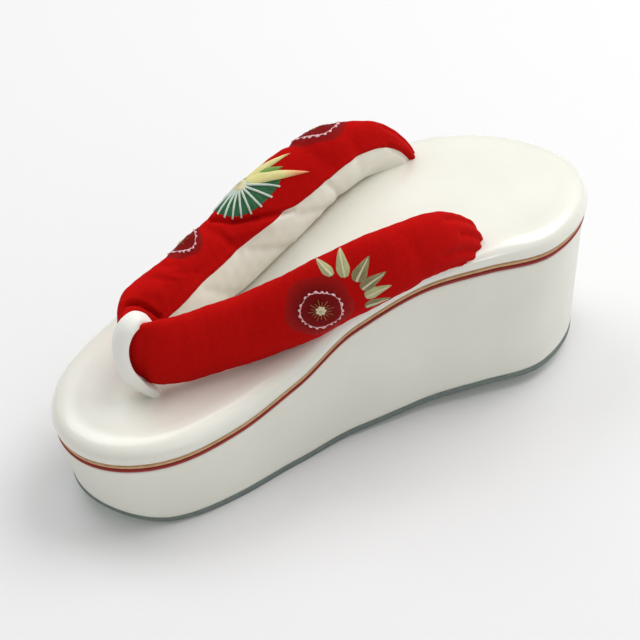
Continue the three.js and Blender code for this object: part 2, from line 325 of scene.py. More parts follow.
class Shader:
    """Node tree of one material, with its Principled shader."""

    def __init__(self, name: str) -> None:
        """Start a material.

        Args:
            name: the material's name.
        """
        self.material = bpy.data.materials.new(name)
        self.material.use_nodes = True
        self.nodes = self.material.node_tree.nodes
        self.links = self.material.node_tree.links
        self.base = self.nodes["Principled BSDF"]

    def feed(self, socket: bpy.types.NodeSocket, value: Any) -> None:
        """Set a socket, or link something to it.

        Args:
            socket: input of a node.
            value: a number, vector or colour that is set, or a field or socket that is linked.
        """
        if isinstance(value, Field):
            value = value.socket
        if isinstance(value, bpy.types.NodeSocket):
            self.links.new(value, socket)
        elif isinstance(value, (tuple, list)) and len(value) == 3 and socket.type == "RGBA":
            socket.default_value = (*value, 1.0)
        else:
            socket.default_value = value

    def node(self, kind: str, settings: dict[str, Any], sockets: dict[Any, Any]) -> bpy.types.Node:
        """Add a node.

        Args:
            kind: the node's type, without its ShaderNode prefix.
            settings: properties, set first.
            sockets: values or links of its inputs, by name or number.

        Returns:
            The node.
        """
        made = self.nodes.new("ShaderNode" + kind)
        for name, value in settings.items():
            setattr(made, name, value)
        for name, value in sockets.items():
            self.feed(made.inputs[name], value)
        return made

    def math(self, operation: str, *values: Any) -> Field:
        """Return a Math node's result."""
        made = self.node("Math", {"operation": operation}, dict(enumerate(values)))
        return Field(self, made.outputs[0])

    def mix(self, factor: Any, first: Any, second: Any) -> bpy.types.NodeSocket:
        """Return a colour between two, by a factor from 0 to 1."""
        sockets = {0: factor, 6: first, 7: second}
        return self.node("Mix", {"data_type": "RGBA", "clamp_factor": True}, sockets).outputs[2]

    def coordinate(self, source: str = "Object", stretch: Triple = (1, 1, 1)) -> bpy.types.NodeSocket:
        """Return a coordinate of the piece, stretched along its axes."""
        place = self.node("TexCoord", {}, {}).outputs[source]
        return self.node("Mapping", {}, {"Vector": place, "Scale": stretch}).outputs[0]

    def axes(self, coordinate: bpy.types.NodeSocket) -> list[Field]:
        """Return the three numbers of a coordinate."""
        split = self.node("SeparateXYZ", {}, {0: coordinate})
        return [Field(self, socket) for socket in split.outputs]

    def noise(self, at: bpy.types.NodeSocket, scale: float, detail: float = 2.0) -> Field:
        """Return a noise from 0 to 1."""
        sockets = {"Vector": at, "Scale": scale, "Detail": detail}
        return Field(self, self.node("TexNoise", {}, sockets).outputs[0])

    def cells(self, at: bpy.types.NodeSocket, scale: float) -> Field:
        """Return the distance to the middles of scattered cells."""
        made = self.node("TexVoronoi", {"feature": "F1"}, {"Vector": at, "Scale": scale})
        return Field(self, made.outputs["Distance"])

    def span(self, value: Any, low: float, high: float, first: float = 0.0, last: float = 1.0) -> Field:
        """Return a value carried from the span low to high to the span first to last, clamped."""
        sockets = {0: value, 1: low, 2: high, 3: first, 4: last}
        return Field(self, self.node("MapRange", {"clamp": True}, sockets).outputs[0])

    def bump(self, height: Field, depth_mm: float) -> None:
        """Feed the normal from a height of that depth."""
        sockets = {"Height": height, "Distance": depth_mm * MM, "Strength": 1.0}
        self.set({"Normal": self.node("Bump", {}, sockets).outputs[0]})

    def set(self, sockets: dict[str, Any]) -> None:
        """Set or link sockets of the Principled shader."""
        for name, value in sockets.items():
            self.feed(self.base.inputs[name], value)


# Finishes


@dataclass(frozen=True)
class Finish:
    """Finish of a surface: two tones, a roughness and its swing; each kind builds its own shader tree."""

    made: ClassVar[dict["Finish", bpy.types.Material]] = {}
    name: str
    colour: Colour
    second: Colour
    roughness: float = 0.5
    swing: float = 0.2

    def dress(self, shader: Shader) -> None:
        """Build the shader tree; each kind of finish has its own."""
        raise NotImplementedError(self.name)

    def rough(self, pattern: Field) -> Field:
        """Return the roughness, moved by its swing times a pattern."""
        return self.roughness + self.swing * pattern

    def material(self) -> bpy.types.Material:
        """Make the finish's material at its first use.

        Returns:
            The material, which all pieces of this finish share.
        """
        if self not in Finish.made:
            shader = Shader(self.name)
            self.dress(shader)
            Finish.made[self] = shader.material
        return Finish.made[self]


@dataclass(frozen=True)
class PearlLeather(Finish):
    """Smooth white leather with a pearl coat, fine pores and faint clouds of a warmer tone."""

    roughness: float = 0.31
    swing: float = 0.12
    coat: float = 0.3
    coat_roughness: float = 0.27
    clouds_per_m: float = 26.0
    cloud_span: Span = (0.35, 0.7)
    patches_per_m: float = 60.0
    pore_mm: float = 0.55
    pore_share: float = 0.6
    grain_mm: float = 2.4
    grain_share: float = 0.8
    relief_mm: float = 0.05

    def dress(self, shader: Shader) -> None:
        """Build the shader tree.

        Args:
            shader: tree of the material.
        """
        place = shader.coordinate()
        clouds = shader.span(shader.noise(place, self.clouds_per_m, CLOUD_DETAIL), *self.cloud_span)
        pores = shader.cells(place, 1 / (self.pore_mm * MM))
        grain = shader.noise(place, 1 / (self.grain_mm * MM), GRAIN_DETAIL)
        shader.set({
            "Base Color": shader.mix(clouds, self.colour, self.second),
            "Roughness": self.rough(shader.noise(place, self.patches_per_m)),
            "Coat Weight": self.coat,
            "Coat Roughness": self.coat_roughness,
            "Specular IOR Level": 0.5,
        })
        shader.bump(self.pore_share * pores + self.grain_share * grain, self.relief_mm)


@dataclass(frozen=True)
class GrainLeather(Finish):
    """Embossed sole leather: short fine creases across the sole, painted darker in them as shade, and faint
    clouds.
    """

    crease_mm: float = 0.9
    crease_stretch: Triple = (1.0, 0.3, 1.0)
    crease_span: Span = (0.45, 0.75)
    pebble_mm: float = 0.8
    pebble_shade: float = 0.12
    pebble_share: float = 0.25
    clouds_per_m: float = 18.0
    cloud_span: Span = (0.3, 0.7)
    cloud_least: float = 0.5
    relief_mm: float = 0.07

    def dress(self, shader: Shader) -> None:
        """Build the shader tree.

        Args:
            shader: tree of the material.
        """
        across = shader.coordinate(stretch=self.crease_stretch)
        creases = shader.noise(across, 1 / (self.crease_mm * MM), CLOUD_DETAIL)
        pebbles = shader.cells(shader.coordinate(), 1 / (self.pebble_mm * MM))
        clouds = shader.noise(shader.coordinate(), self.clouds_per_m, CLOUD_DETAIL)
        # Painted shade: the colour turns to the second tone in the creases and at the pebbles' edges, where
        # the bump is low; the clouds add random tone.
        crease_shade = shader.span(creases + self.pebble_shade * pebbles, *self.crease_span)
        shade = crease_shade * shader.span(clouds, *self.cloud_span, self.cloud_least)
        shader.set({
            "Base Color": shader.mix(shade, self.colour, self.second),
            "Roughness": self.rough(creases),
            "Specular IOR Level": 0.4,
        })
        shader.bump(1.0 - creases - self.pebble_share * pebbles, self.relief_mm)


@dataclass(frozen=True)
class EdgePaint(Finish):
    """Painted or folded edge of a thin layer, a little uneven and worn along its length."""

    roughness: float = 0.4
    swing: float = 0.15
    metallic: float = 0.0
    coat: float = 0.0
    streak_mm: float = 3.0
    wear_span: Span = (0.42, 0.68)
    wear_share: float = 0.6
    fleck_mm: float = 0.5
    relief_mm: float = 0.05

    def dress(self, shader: Shader) -> None:
        """Build the shader tree.

        Args:
            shader: tree of the material.
        """
        place = shader.coordinate()
        streaks = shader.noise(place, 1 / (self.streak_mm * MM), GRAIN_DETAIL)
        wear = shader.span(streaks, *self.wear_span)
        flecks = shader.noise(place, 1 / (self.fleck_mm * MM))
        shader.set({
            "Base Color": shader.mix(wear, self.colour, self.second),
            "Roughness": self.rough(flecks),
            "Metallic": self.metallic,
            "Coat Weight": self.coat,
            "Coat Roughness": 0.3,
        })
        shader.bump(flecks + self.wear_share * wear, self.relief_mm)


@dataclass(frozen=True)
class CrepeCloth(Finish):
    """Crepe: short crimped ridges across the strap, matte, with a soft fuzz at grazing light; the colour is
    painted with shade in the troughs between the crimps and with faint random clouds.
    """

    roughness: float = 0.78
    swing: float = 0.12
    fuzz: Colour = (1.0, 0.12, 0.1)
    crimp_mm: float = 0.75
    crimp_stretch: Triple = (1.0, 0.45, 1.0)
    weave_mm: float = 0.42
    weave_share: float = 0.25
    clouds_per_m: float = 45.0
    cloud_share: float = 0.5
    light_span: Span = (0.5, 1.0)
    relief_mm: float = 0.09

    def dress(self, shader: Shader) -> None:
        """Build the shader tree.

        Args:
            shader: tree of the material.
        """
        across = shader.coordinate("UV", self.crimp_stretch)
        crimps = shader.noise(across, 1 / self.crimp_mm, CLOUD_DETAIL)
        weave = shader.cells(shader.coordinate("UV"), 1 / self.weave_mm)
        clouds = shader.noise(shader.coordinate(), self.clouds_per_m, CLOUD_DETAIL)
        # Painted shade: the colour turns to the second, deeper red in the crimps' troughs, where the bump
        # is low; the clouds add random tone.
        crimp_shade_and_clouds = shader.span(crimps + self.cloud_share * clouds, *self.light_span, 1.0, 0.0)
        shader.set({
            "Base Color": shader.mix(crimp_shade_and_clouds, self.colour, self.second),
            "Roughness": self.rough(crimps),
            "Specular IOR Level": 0.03,
            "Sheen Weight": 0.06,
            "Sheen Roughness": 0.45,
            "Sheen Tint": self.fuzz,
        })
        shader.bump(crimps + self.weave_share * weave, self.relief_mm)


@dataclass(frozen=True)
class LiningCloth(Finish):
    """White lining: a fine even weave, matte, greyer in its hollows."""

    roughness: float = 0.8
    swing: float = 0.1
    thread_mm: float = 0.5
    clouds_per_m: float = 70.0
    cloud_span: Span = (0.4, 0.75)
    relief_mm: float = 0.05

    def dress(self, shader: Shader) -> None:
        """Build the shader tree.

        Args:
            shader: tree of the material.
        """
        along, across, _ = shader.axes(shader.coordinate("UV"))
        turns = 2 * math.pi / self.thread_mm
        warp, weft = (shader.math("SINE", axis * turns) for axis in (along, across))
        clouds = shader.noise(shader.coordinate(), self.clouds_per_m, CLOUD_DETAIL)
        shader.set({
            "Base Color": shader.mix(shader.span(clouds, *self.cloud_span), self.colour, self.second),
            "Roughness": self.rough(clouds),
            "Specular IOR Level": 0.3,
            "Sheen Weight": 0.15,
        })
        shader.bump(warp * weft + clouds, self.relief_mm)


@dataclass(frozen=True)
class SilkThread(Finish):
    """Satin stitches: fine threads side by side along the stitch, a little uneven in tone.

    Between the two lengths of tip_reach the tone turns to the tip's colour.
    """

    roughness: float = 0.42
    swing: float = 0.16
    thread_mm: float = 0.42
    tone_stretch: Triple = (0.15, 1.6, 1.0)
    tones_per_mm: float = 1.2
    tone_span: Span = (0.35, 0.65)
    tone_share: float = 0.3
    tip: Colour | None = None
    tip_reach: Span = (15.0, 21.0)
    relief_mm: float = 0.12

    def dress(self, shader: Shader) -> None:
        """Build the shader tree.

        Args:
            shader: tree of the material.
        """
        along, across, _ = shader.axes(shader.coordinate("UV"))
        ridge = shader.math("ABSOLUTE", shader.math("SINE", across * (math.pi / self.thread_mm)))
        tone = shader.noise(shader.coordinate("UV", self.tone_stretch), self.tones_per_mm, CLOUD_DETAIL)
        colour = shader.mix(shader.span(tone, *self.tone_span), self.colour, self.second)
        if self.tip is not None:
            colour = shader.mix(shader.span(along, *self.tip_reach), colour, self.tip)
        shader.set({
            "Base Color": colour,
            "Roughness": self.rough(tone),
            "Specular IOR Level": 0.08,
        })
        shader.bump(ridge + self.tone_share * tone, self.relief_mm)


@dataclass(frozen=True)
class LiftRubber(Finish):
    """Moulded ochre rubber with a dull skin, specks and slightly darker sides."""

    roughness: float = 0.55
    speck_mm: float = 0.6
    speck_span: Span = (0.3, 0.75)
    speck_share: float = 0.25
    side_mm: Span = (0.4, 2.6)
    relief_mm: float = 0.06

    def dress(self, shader: Shader) -> None:
        """Build the shader tree.

        Args:
            shader: tree of the material.
        """
        place = shader.coordinate()
        specks = shader.noise(place, 1 / (self.speck_mm * MM), GRAIN_DETAIL)
        height = shader.span(shader.axes(place)[2], *(level * MM for level in self.side_mm))
        speckled = shader.span(specks, *self.speck_span, 0.0, self.speck_share)
        tone = speckled + (1 - self.speck_share) * height
        shader.set({
            "Base Color": shader.mix(tone, self.colour, self.second),
            "Roughness": self.rough(specks),
            "Specular IOR Level": 0.4,
        })
        shader.bump(specks, self.relief_mm)


@dataclass(frozen=True)
class NailMetal(Finish):
    """Dark oxidised nail head with a little bare, smoother metal."""

    swing: float = -0.15
    scuff_mm: float = 0.5
    scuff_span: Span = (0.5, 0.75)
    relief_mm: float = 0.03

    def dress(self, shader: Shader) -> None:
        """Build the shader tree.

        Args:
            shader: tree of the material.
        """
        patches = shader.noise(shader.coordinate(), 1 / (self.scuff_mm * MM), GRAIN_DETAIL)
        scuff = shader.span(patches, *self.scuff_span)
        shader.set({
            "Base Color": shader.mix(scuff, self.colour, self.second),
            "Metallic": 0.7,
            "Roughness": self.rough(scuff),
        })
        shader.bump(scuff, self.relief_mm)


WALL = PearlLeather("wall_pearl_leather", (0.785, 0.785, 0.705), (0.745, 0.735, 0.655))
BED = PearlLeather(
    "footbed_pearl_leather", (0.785, 0.785, 0.71), (0.75, 0.745, 0.66),
    roughness=0.29, coat=0.9, coat_roughness=0.2,
)
POST = PearlLeather(
    "toe_post_leather", (0.87, 0.865, 0.82), (0.83, 0.82, 0.755),
    roughness=0.45, coat=0.1, pore_mm=0.7, relief_mm=0.1,
)
# Its second tone is painted shade for the creases, mixed with faint clouds.
SOLE = GrainLeather("sole_mint_leather", (0.665, 0.75, 0.655), (0.57, 0.66, 0.56))
SOLE_EDGE = EdgePaint("sole_edge_paint", (0.14, 0.17, 0.16), (0.17, 0.20, 0.19), roughness=0.6)
RED_EDGE = EdgePaint("red_layer_edge", (0.31, 0.013, 0.007), (0.25, 0.009, 0.005))
GOLD_EDGE = EdgePaint(
    "gold_layer_edge", (0.62, 0.38, 0.20), (0.52, 0.31, 0.15), metallic=0.2, coat=0.1,
)
# Its second tone is painted shade for the crimps' troughs, mixed with random clouds.
CREPE = CrepeCloth("strap_red_crepe", (0.485, 0.005, 0.004), (0.40, 0.0035, 0.003))
LINING = LiningCloth("strap_lining_cloth", (0.92, 0.90, 0.80), (0.85, 0.82, 0.71))
RUBBER = LiftRubber("heel_lift_rubber", (0.74, 0.42, 0.11), (0.55, 0.25, 0.06))
NAIL = NailMetal("heel_nail_dark", (0.035, 0.02, 0.02), (0.16, 0.10, 0.08))


class Thread(Enum):
    """Threads of the embroidery, each with its finish."""

    PETAL = SilkThread(
        "plum_petal_silk", (0.17, 0.0025, 0.003), (0.23, 0.004, 0.004),
        tip=(0.36, 0.004, 0.0035), tip_reach=(7.5, 13.5),
    )
    BEAD = SilkThread("plum_edge_silk", (0.80, 0.40, 0.44), (0.90, 0.68, 0.70), thread_mm=0.6)
    STAMEN = SilkThread("plum_stamen_silk", (0.30, 0.08, 0.04), (0.46, 0.22, 0.10), thread_mm=0.3)
    HEART = SilkThread("plum_heart_silk", (0.84, 0.76, 0.54), (0.72, 0.58, 0.36), thread_mm=0.3)
    PINE = SilkThread("pine_green_silk", (0.022, 0.10, 0.045), (0.05, 0.17, 0.08))
    NEEDLE = SilkThread("pine_white_silk", (0.72, 0.80, 0.72), (0.56, 0.70, 0.60), thread_mm=0.3)
    HUB = SilkThread("pine_hub_silk", (0.80, 0.76, 0.52), (0.72, 0.66, 0.40), thread_mm=0.3)
    PALE = SilkThread("leaf_pale_silk", (0.56, 0.55, 0.28), (0.40, 0.42, 0.20))
    OLIVE = SilkThread("leaf_olive_silk", (0.20, 0.17, 0.07), (0.34, 0.31, 0.16))
    VEIN = SilkThread("leaf_vein_silk", (0.78, 0.74, 0.52), (0.70, 0.62, 0.42), thread_mm=0.3)
    STRAW = SilkThread(
        "leaf_straw_silk", (0.82, 0.78, 0.30), (0.80, 0.72, 0.36), tip=(0.85, 0.36, 0.18),
    )
    GRASS = SilkThread("leaf_green_silk", (0.16, 0.32, 0.07), (0.24, 0.40, 0.12))


# The sole and its layers


@dataclass(frozen=True)
class SoleForm:
    """Outline and levels that all the layers of the sole share."""

    half_length: float = 115.0
    seam: float = 0.3
    outsole_thick: float = 2.7
    red_thick: float = 1.6
    gold_thick: float = 1.5
    flare: float = 2.1
    end_flare: float = 1.2
    lip: float = 0.75
    pad_rise: float = 8.2
    spine_reach: float = 0.68
    around: int = 320
    across: int = 41
    turn_step: float = 0.01
    sections: Table = Table(
        "along half bend base welt",
        (-1.0, 58.1, 0.0, 5.3, 64.3),
        (-0.75, 54.4, -0.4, 5.3, 66.1),
        (-0.5, 44.8, -3.6, 5.3, 67.4),
        (-0.25, 39.5, -6.5, 3.6, 65.2),
        (0.0, 38.7, -6.8, 1.5, 57.1),
        (0.25, 41.4, -3.8, 0.0, 43.2),
        (0.5, 46.7, 2.0, 0.0, 36.7),
        (0.75, 52.4, 9.1, 0.9, 34.2),
        (1.0, 58.6, 13.3, 8.2, 32.7),
    )

    def value(self, column: str, x: Array) -> Array:
        """Return a column of the section table at places along the sole."""
        return self.sections.read(column, np.asarray(x) / self.half_length)

    def base(self, x: Array) -> Array:
        """Return the height of the underside."""
        return self.value("base", x)

    def welt(self, x: Array) -> Array:
        """Return the height of the red layer's underside."""
        return self.value("welt", x)

    def pad_under(self, x: Array) -> Array:
        """Return the height of the footbed's underside."""
        return self.welt(x) + self.red_thick + self.gold_thick + 2 * self.seam

    def tread(self, x: Array) -> Array:
        """Return the height of the tread."""
        return self.pad_under(x) + self.pad_rise

    def knots(self, sections: Table) -> Array:
        """Return places of a table of along, side and rise, their heights counted from the tread."""
        along, side, rise = (sections.column(name) for name in ("along", "side", "rise"))
        return np.column_stack([along, side, self.tread(along) + rise])

    def turns(self) -> Array:
        """Return the turns of a ring, from the toe tip toward the inner side."""
        return np.linspace(0, 2 * np.pi, self.around, endpoint=False)

    def flare_round(self) -> Array:
        """Return how far the wall's upper edge stands out at each turn, more at both ends."""
        return self.flare + self.end_flare * np.cos(self.turns()) ** 2

    def outline(self, turn: Array) -> Array:
        """Outline in plan.

        x is half the length times the cosine of the turn; y is the half breadth at x times the
        sine, moved by the bend at x.

        Args:
            turn: turns round the sole.

        Returns:
            Two columns, x and y.
        """
        x = self.half_length * np.cos(turn)
        return np.stack([x, np.sin(turn) * self.value("half", x) + self.value("bend", x)], axis=-1)

    def ring(self, out: Any, height: Height, up: float = 0.0) -> Array:
        """Closed ring round the sole.

        Each point of the outline moves outward along the outline's normal, and its height is
        read where it then stands.

        Args:
            out: distance outward, one number or one for each turn.
            height: height as a function of x.
            up: distance above that height.

        Returns:
            One point for each turn.
        """
        turn = self.turns()
        way = unit(self.outline(turn + self.turn_step) - self.outline(turn - self.turn_step))
        outward = np.stack([way[:, 1], -way[:, 0]], axis=-1)
        plan = self.outline(turn) + outward * np.reshape(out, (-1, 1))
        return np.column_stack([plan, height(plan[:, 0]) + up])

    def spine(self, height: Height) -> Array:
        """Middle line as a ring that lies on itself, held back from both ends.

        Args:
            height: height as a function of x.

        Returns:
            One point for each turn.
        """
        reach = np.clip(np.cos(self.turns()), -self.spine_reach, self.spine_reach)
        x = self.half_length * reach
        return np.column_stack([x, self.value("bend", x), height(x)])

    def cap(self, ring: Array, height: Height) -> Grid:
        """Level face inside a ring: straight strips across the sole between points of equal turn.

        Args:
            ring: the face's edge.
            height: height as a function of x.

        Returns:
            A grid whose rows run from the toe to the heel.
        """
        half = len(ring) // 2 + 1
        near, far = ring[:half], np.roll(ring[::-1], 1, axis=0)[:half]
        share = np.linspace(0, 1, self.across)[None, :, None]
        points = near[:, None] + (far - near)[:, None] * share
        points[..., 2] = height(points[..., 0])
        return Grid(points)


@dataclass
class Cut:
    """Cut in the sole leather: its path in plan, its width along the path and its depth."""

    plan: Array
    wide: Array
    deep: float


@dataclass
class Outsole:
    """Sheet of embossed leather under the sandal, with its painted edge and the cuts for the strap ends."""

    form: SoleForm
    round_edge: float = 0.4
    round_part: float = 0.3
    toe_taper: float = 1.2
    taper_span: Span = (50.0, 112.0)
    slit_long: float = 10.0
    slit_wide: float = 1.3
    slit_over: float = 1.0
    slit_points: int = 5
    cut_deep: float = 0.9
    cut_below: float = 2.0
    toe_slit: Span = (58.0, 17.0)
    heel_slit: Span = (-62.0, 20.0)
    toe_flap: Span = (27.0, 8.5)
    heel_flap: Span = (33.0, 26.5)
    flap_round: float = 9.0
    flap_power: float = 0.5
    flap_points: int = 33
    arm_end: float = 10.0
    arm_points: int = 6
    sharp: float = 35.0
    # Width of a flap's cut along its path: open on the first arm and at the foot, shut elsewhere.
    cut_wide: Table = Table(
        "share wide",
        (0.0, 0.5), (0.18, 0.42), (0.34, 0.16), (0.5, 0.34), (0.66, 0.16), (0.82, 0.18), (1.0, 0.1),
    )

    def under(self, x: Array) -> Array:
        """Return the height of the underside, which rises where the sheet is skived toward the toe."""
        return self.form.base(x) + self.toe_taper * ease(*self.taper_span, x)

    def upper(self, x: Array) -> Array:
        """Return the height of the face that is glued to the platform."""
        return self.form.base(x) + self.form.outsole_thick

    def build(self) -> bpy.types.Object:
        """Sheet between its two faces, with a rounded edge, from which the cuts are taken.

        Returns:
            The finished outsole.
        """
        r, part = self.round_edge, self.round_part * self.round_edge
        steps = (
            (-r, self.under, 0.0), (-part, self.under, part), (0.0, self.under, r),
            (0.0, self.upper, -r), (-part, self.upper, -part), (-r, self.upper, 0.0),
        )
        side = np.stack([self.form.ring(out, face, up) for out, face, up in steps])
        faces = [self.form.cap(side[0], self.under), self.form.cap(side[-1], self.upper)]
        mesh = make_mesh("outsole_leather", [*faces, Grid(side, True, finish=1)])
        piece = place_piece("outsole_leather", mesh, [SOLE, SOLE_EDGE], ["outsole"])
        for index, cut in enumerate(self.cuts()):
            self.take_out(piece, f"sole_cut_{index}", cut)
        piece.data.set_sharp_from_angle(angle=math.radians(self.sharp))
        return piece

    def cuts(self) -> list[Cut]:
        """Work out the cuts.

        Returns:
            The three slits, right through the sheet, then the two bent flap lines.
        """
        through = self.form.outsole_thick + self.slit_over
        slits = [self.toe_slit, self.heel_slit, (self.heel_slit[0], -self.heel_slit[1])]
        reach = np.linspace(-0.5, 0.5, self.slit_points) * self.slit_long
        level = np.ones(self.slit_points)
        made = [
            Cut(np.column_stack([along + reach, side * level]), self.slit_wide * level, through)
            for along, side in slits
        ]
        flaps = (
            (self.toe_slit[0], self.toe_slit[1], *self.toe_flap),
            (self.heel_slit[0], 0.0, *self.heel_flap),
        )
        for along, side, long, half in flaps:
            plan = self.flap(along, side, long, half)
            wide = self.cut_wide.read("wide", np.linspace(0, 1, len(plan)))
            made.append(Cut(plan, wide, self.cut_deep))
        return made

    def flap(self, along: float, side: float, long: float, half: float) -> Array:
        """Path of a flap: a U that is open to the toe.

        Both arms run straight, and a quarter of a rounded square joins each to the foot of the U.

        Args:
            along: place of the foot of the U.
            side: place of its middle.
            long: length of its arms.
            half: half its breadth.

        Returns:
            Points in plan.
        """
        turn = np.linspace(0, np.pi, self.flap_points)
        round_square = np.sign(np.cos(turn)) * np.abs(np.cos(turn)) ** self.flap_power
        depth = self.flap_round * (1 - np.sin(turn) ** self.flap_power)
        foot = np.column_stack([along + depth, side + half * round_square])
        arm = np.linspace(long, self.arm_end, self.arm_points)
        level = np.ones(self.arm_points)
        first = np.column_stack([along + arm, (side + half) * level])
        last = np.column_stack([along + arm[::-1], (side - half) * level])
        return np.concatenate([first, foot, last])

    def take_out(self, piece: bpy.types.Object, name: str, cut: Cut) -> None:
        """Cut a groove into the underside: a rectangle carried along the path, taken away from the piece.

        Args:
            piece: the outsole.
            name: name of the cutter.
            cut: the groove.
        """
        way = unit(np.gradient(cut.plan, axis=0))
        across = np.stack([-way[:, 1], way[:, 0]], axis=-1) * cut.wide[:, None] / 2
        base = self.under(cut.plan[:, 0])
        corners = ((-1, -self.cut_below), (1, -self.cut_below), (1, cut.deep), (-1, cut.deep))
        ring = np.stack(
            [np.column_stack([cut.plan + side * across, base + up]) for side, up in corners], axis=1,
        )
        middle = ring.mean(axis=1, keepdims=True).repeat(len(corners), axis=1)
        rows = np.concatenate([middle[:1], ring, middle[-1:]])
        cutter = bpy.data.objects.new(name, make_mesh(name, [Grid(rows, True)]))
        bpy.context.scene.collection.objects.link(cutter)
        cutter.data.materials.append(SOLE_EDGE.material())
        taken = piece.modifiers.new(name, "BOOLEAN")
        taken.operation, taken.object, taken.solver = "DIFFERENCE", cutter, "EXACT"
        view = bpy.context.evaluated_depsgraph_get()
        old, piece.data = piece.data, bpy.data.meshes.new_from_object(piece.evaluated_get(view))
        piece.modifiers.remove(taken)
        piece.data.name = "outsole_leather"
        bpy.data.objects.remove(cutter)
        bpy.data.meshes.remove(old)


@dataclass
class Platform:
    """Tall core wrapped in white leather, with its rounded edges."""

    form: SoleForm
    rows: int = 22
    round_edge: float = 0.8
    round_steps: int = 5
    sharp: float = 60.0

    def low(self, x: Array) -> Array:
        """Return the height of the underside."""
        return self.form.base(x) + self.form.outsole_thick + self.form.seam

    def high(self, x: Array) -> Array:
        """Return the height of the upper face."""
        return self.form.welt(x) - self.form.seam

    def build(self) -> bpy.types.Object:
        """Wall ruled from the plain outline below to the flared outline above, its edges a quarter round.

        Returns:
            The finished platform.
        """
        form, r, flare = self.form, self.round_edge, self.form.flare_round()
        bend = np.linspace(0, np.pi / 2, self.round_steps)
        inset, rise = r * (1 - np.sin(bend)), r * (1 - np.cos(bend))
        lower = np.stack([form.ring(-a, self.low, b) for a, b in zip(inset, rise)])
        upper = np.stack([form.ring(flare - b, self.high, -a) for a, b in zip(inset, rise)])
        share = np.linspace(0, 1, self.rows)[1:-1, None, None]
        between = lower[-1] + (upper[0] - lower[-1]) * share
        wall = np.concatenate([lower, between, upper])
        faces = [form.cap(wall[0], self.low), form.cap(wall[-1], self.high)]
        mesh = make_mesh("platform_wall", [*faces, Grid(wall, True)])
        return place_piece("platform_wall", mesh, [WALL], ["platform"], self.sharp)


@dataclass
class EdgeLayer:
    """Thin layer between the wall and the footbed, its rim a half round."""

    form: SoleForm
    name: str
    node: str
    slot: str
    finish: Finish
    lift: float
    thick: float
    inset: float = 0.35
    rim_steps: int = 9
    sharp: float = 60.0

    def low(self, x: Array) -> Array:
        """Return the height of the underside."""
        return self.form.welt(x) + self.lift

    def high(self, x: Array) -> Array:
        """Return the height of the upper face."""
        return self.low(x) + self.thick

    def build(self) -> bpy.types.Object:
        """Rim: a half circle from the lower to the upper face, carried round the flared outline.

        Returns:
            The finished layer.
        """
        form = self.form
        start, reach = form.flare_round() - self.inset, form.lip + self.inset
        turns = np.linspace(-np.pi / 2, np.pi / 2, self.rim_steps)
        rim = np.stack([
            form.ring(start + reach * np.cos(a), self.low, self.thick * (0.5 + 0.5 * np.sin(a)))
            for a in turns
        ])
        faces = [form.cap(rim[0], self.low), form.cap(rim[-1], self.high)]
        mesh = make_mesh(self.name, [*faces, Grid(rim, True)])
        return place_piece(self.name, mesh, [self.finish], [self.node], self.sharp)


@dataclass
class Footbed:
    """Padded leather top with a rolled rim, pressed in where the strap and the toe post go down."""

    form: SoleForm
    hollow: float = 0.7
    rim_rows: int = 41
    inner_rows: int = 16
    press_below: float = 3.0
    folds: Table = Table(
        "out up",
        (-0.4, 0.0), (1.0, 0.7), (1.7, 2.6), (1.2, 5.2), (-0.8, 7.4),
        (-4.0, 8.5), (-8.0, 8.7), (-12.0, 8.4), (-24.0, 8.2),
        by_row=True,
    )
    presses: Table = Table(
        "along side deep wide",
        (-54.0, 30.5, 1.6, 10.0),
        (-55.0, -34.5, 1.6, 10.0),
        (80.5, 16.0, 1.8, 5.5),
    )

    def build(self) -> bpy.types.Object:
        """Rim through the folds, then rings that close on the spine; presses are round soft pits.

        Returns:
            The finished footbed.
        """
        form, flare = self.form, self.form.flare_round()
        profile = smooth_course(self.folds.cells, np.linspace(0, 1, self.rim_rows))
        rim = np.stack([form.ring(flare + out, form.pad_under, up) for out, up in profile])
        closing = np.linspace(0, 1, self.inner_rows + 1)[1:, None, None]
        inner = rim[-1] + (form.spine(form.tread) - rim[-1]) * closing
        dip = np.sin(np.linspace(0, 1, self.inner_rows) * np.pi / 2) ** 2
        inner[..., 2] -= self.hollow * dip[:, None]
        rows = np.concatenate([rim, inner])
        upper = rows[..., 2] > form.tread(rows[..., 0]) - self.press_below
        for along, side, deep, wide in self.presses.cells:
            apart = np.hypot(rows[..., 0] - along, rows[..., 1] - side)
            rows[..., 2] -= upper * deep * bell(apart, wide)
        mesh = make_mesh("footbed_pad", [form.cap(rim[0], form.pad_under), Grid(rows, True)])
        piece = place_piece("footbed_pad", mesh, [BED], ["footbed"])
        return piece


# The strap and its embroidery


